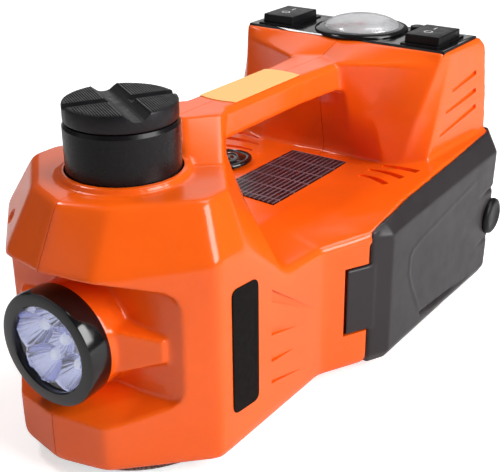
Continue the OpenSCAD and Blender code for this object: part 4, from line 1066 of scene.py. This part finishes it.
class JACK_OT_stage(Operator):
    """Set the pale floor, the soft lights and the camera"""
    bl_idname = "jack.stage"
    bl_label = "Floor, lights and camera"

    def execute(self, context):
        scene = context.scene
        scene.view_settings.view_transform = "Standard"
        lay_floor()
        white_world(scene)
        for name, spot, aim, power, width in LIGHTS:
            light = bpy.data.lights.new(name, "AREA")
            light.energy, light.shape, light.size = power, "SQUARE", width
            lamp = linked(name, light)
            lamp.location = spot
            lamp.rotation_euler = (Vector(aim) - Vector(spot)).to_track_quat("-Z", "Y").to_euler()

        camera = linked("camera", bpy.data.cameras.new("camera"))
        scene.camera = camera
        turn, rise, roll = radians(CAMERA_TURN), radians(CAMERA_RISE), radians(CAMERA_ROLL)
        right = Vector((cos(turn), sin(turn), 0))
        up = Vector((-sin(turn) * sin(rise), cos(turn) * sin(rise), cos(rise)))
        axes = Matrix((right * cos(roll) + up * sin(roll), up * cos(roll) - right * sin(roll),
                       right.cross(up))).transposed()
        camera.matrix_world = Matrix.Translation(CAMERA_SPOT) @ axes.to_4x4()
        camera.data.lens, camera.data.sensor_width, camera.data.sensor_fit = 72.5, 36, "HORIZONTAL"
        camera.data.clip_end = 20
        return {"FINISHED"}


# ---- add-on ----

OPERATORS = (JACK_OT_stage, JACK_OT_housing, JACK_OT_cover, JACK_OT_knobs, JACK_OT_saddle, JACK_OT_torch,
             JACK_OT_panel, JACK_OT_gauge, JACK_OT_plates, JACK_OT_works)


class JACK_PT_sidebar(Panel):
    """The jack's pieces, sizes and colours"""
    bl_idname = "JACK_PT_sidebar"
    bl_label = "Electric Car Jack"
    bl_space_type = "VIEW_3D"
    bl_region_type = "UI"
    bl_category = "Car Jack"

    def draw(self, context):
        for group in (context.scene.jack_sizes, context.scene.jack_colours):
            for name in group.__annotations__:
                self.layout.prop(group, name)
        for operator in OPERATORS:
            self.layout.operator(operator.bl_idname)


CLASSES = (JackSizes, JackColours, *OPERATORS, JACK_PT_sidebar)


def register():
    for cls in CLASSES:
        bpy.utils.register_class(cls)
    bpy.types.Scene.jack_sizes = PointerProperty(type=JackSizes)
    bpy.types.Scene.jack_colours = PointerProperty(type=JackColours)


def unregister():
    del bpy.types.Scene.jack_colours
    del bpy.types.Scene.jack_sizes
    for cls in reversed(CLASSES):
        bpy.utils.unregister_class(cls)


def main():
    """Build the jack on its frame."""
    register()
    bpy.ops.jack.stage()
    bpy.ops.jack.housing()
    bpy.ops.jack.cover()
    bpy.ops.jack.knobs()
    bpy.ops.jack.saddle()
    bpy.ops.jack.torch()
    bpy.ops.jack.panel()
    bpy.ops.jack.gauge()
    bpy.ops.jack.plates()
    bpy.ops.jack.works()


if __name__ == "__main__":
    main()
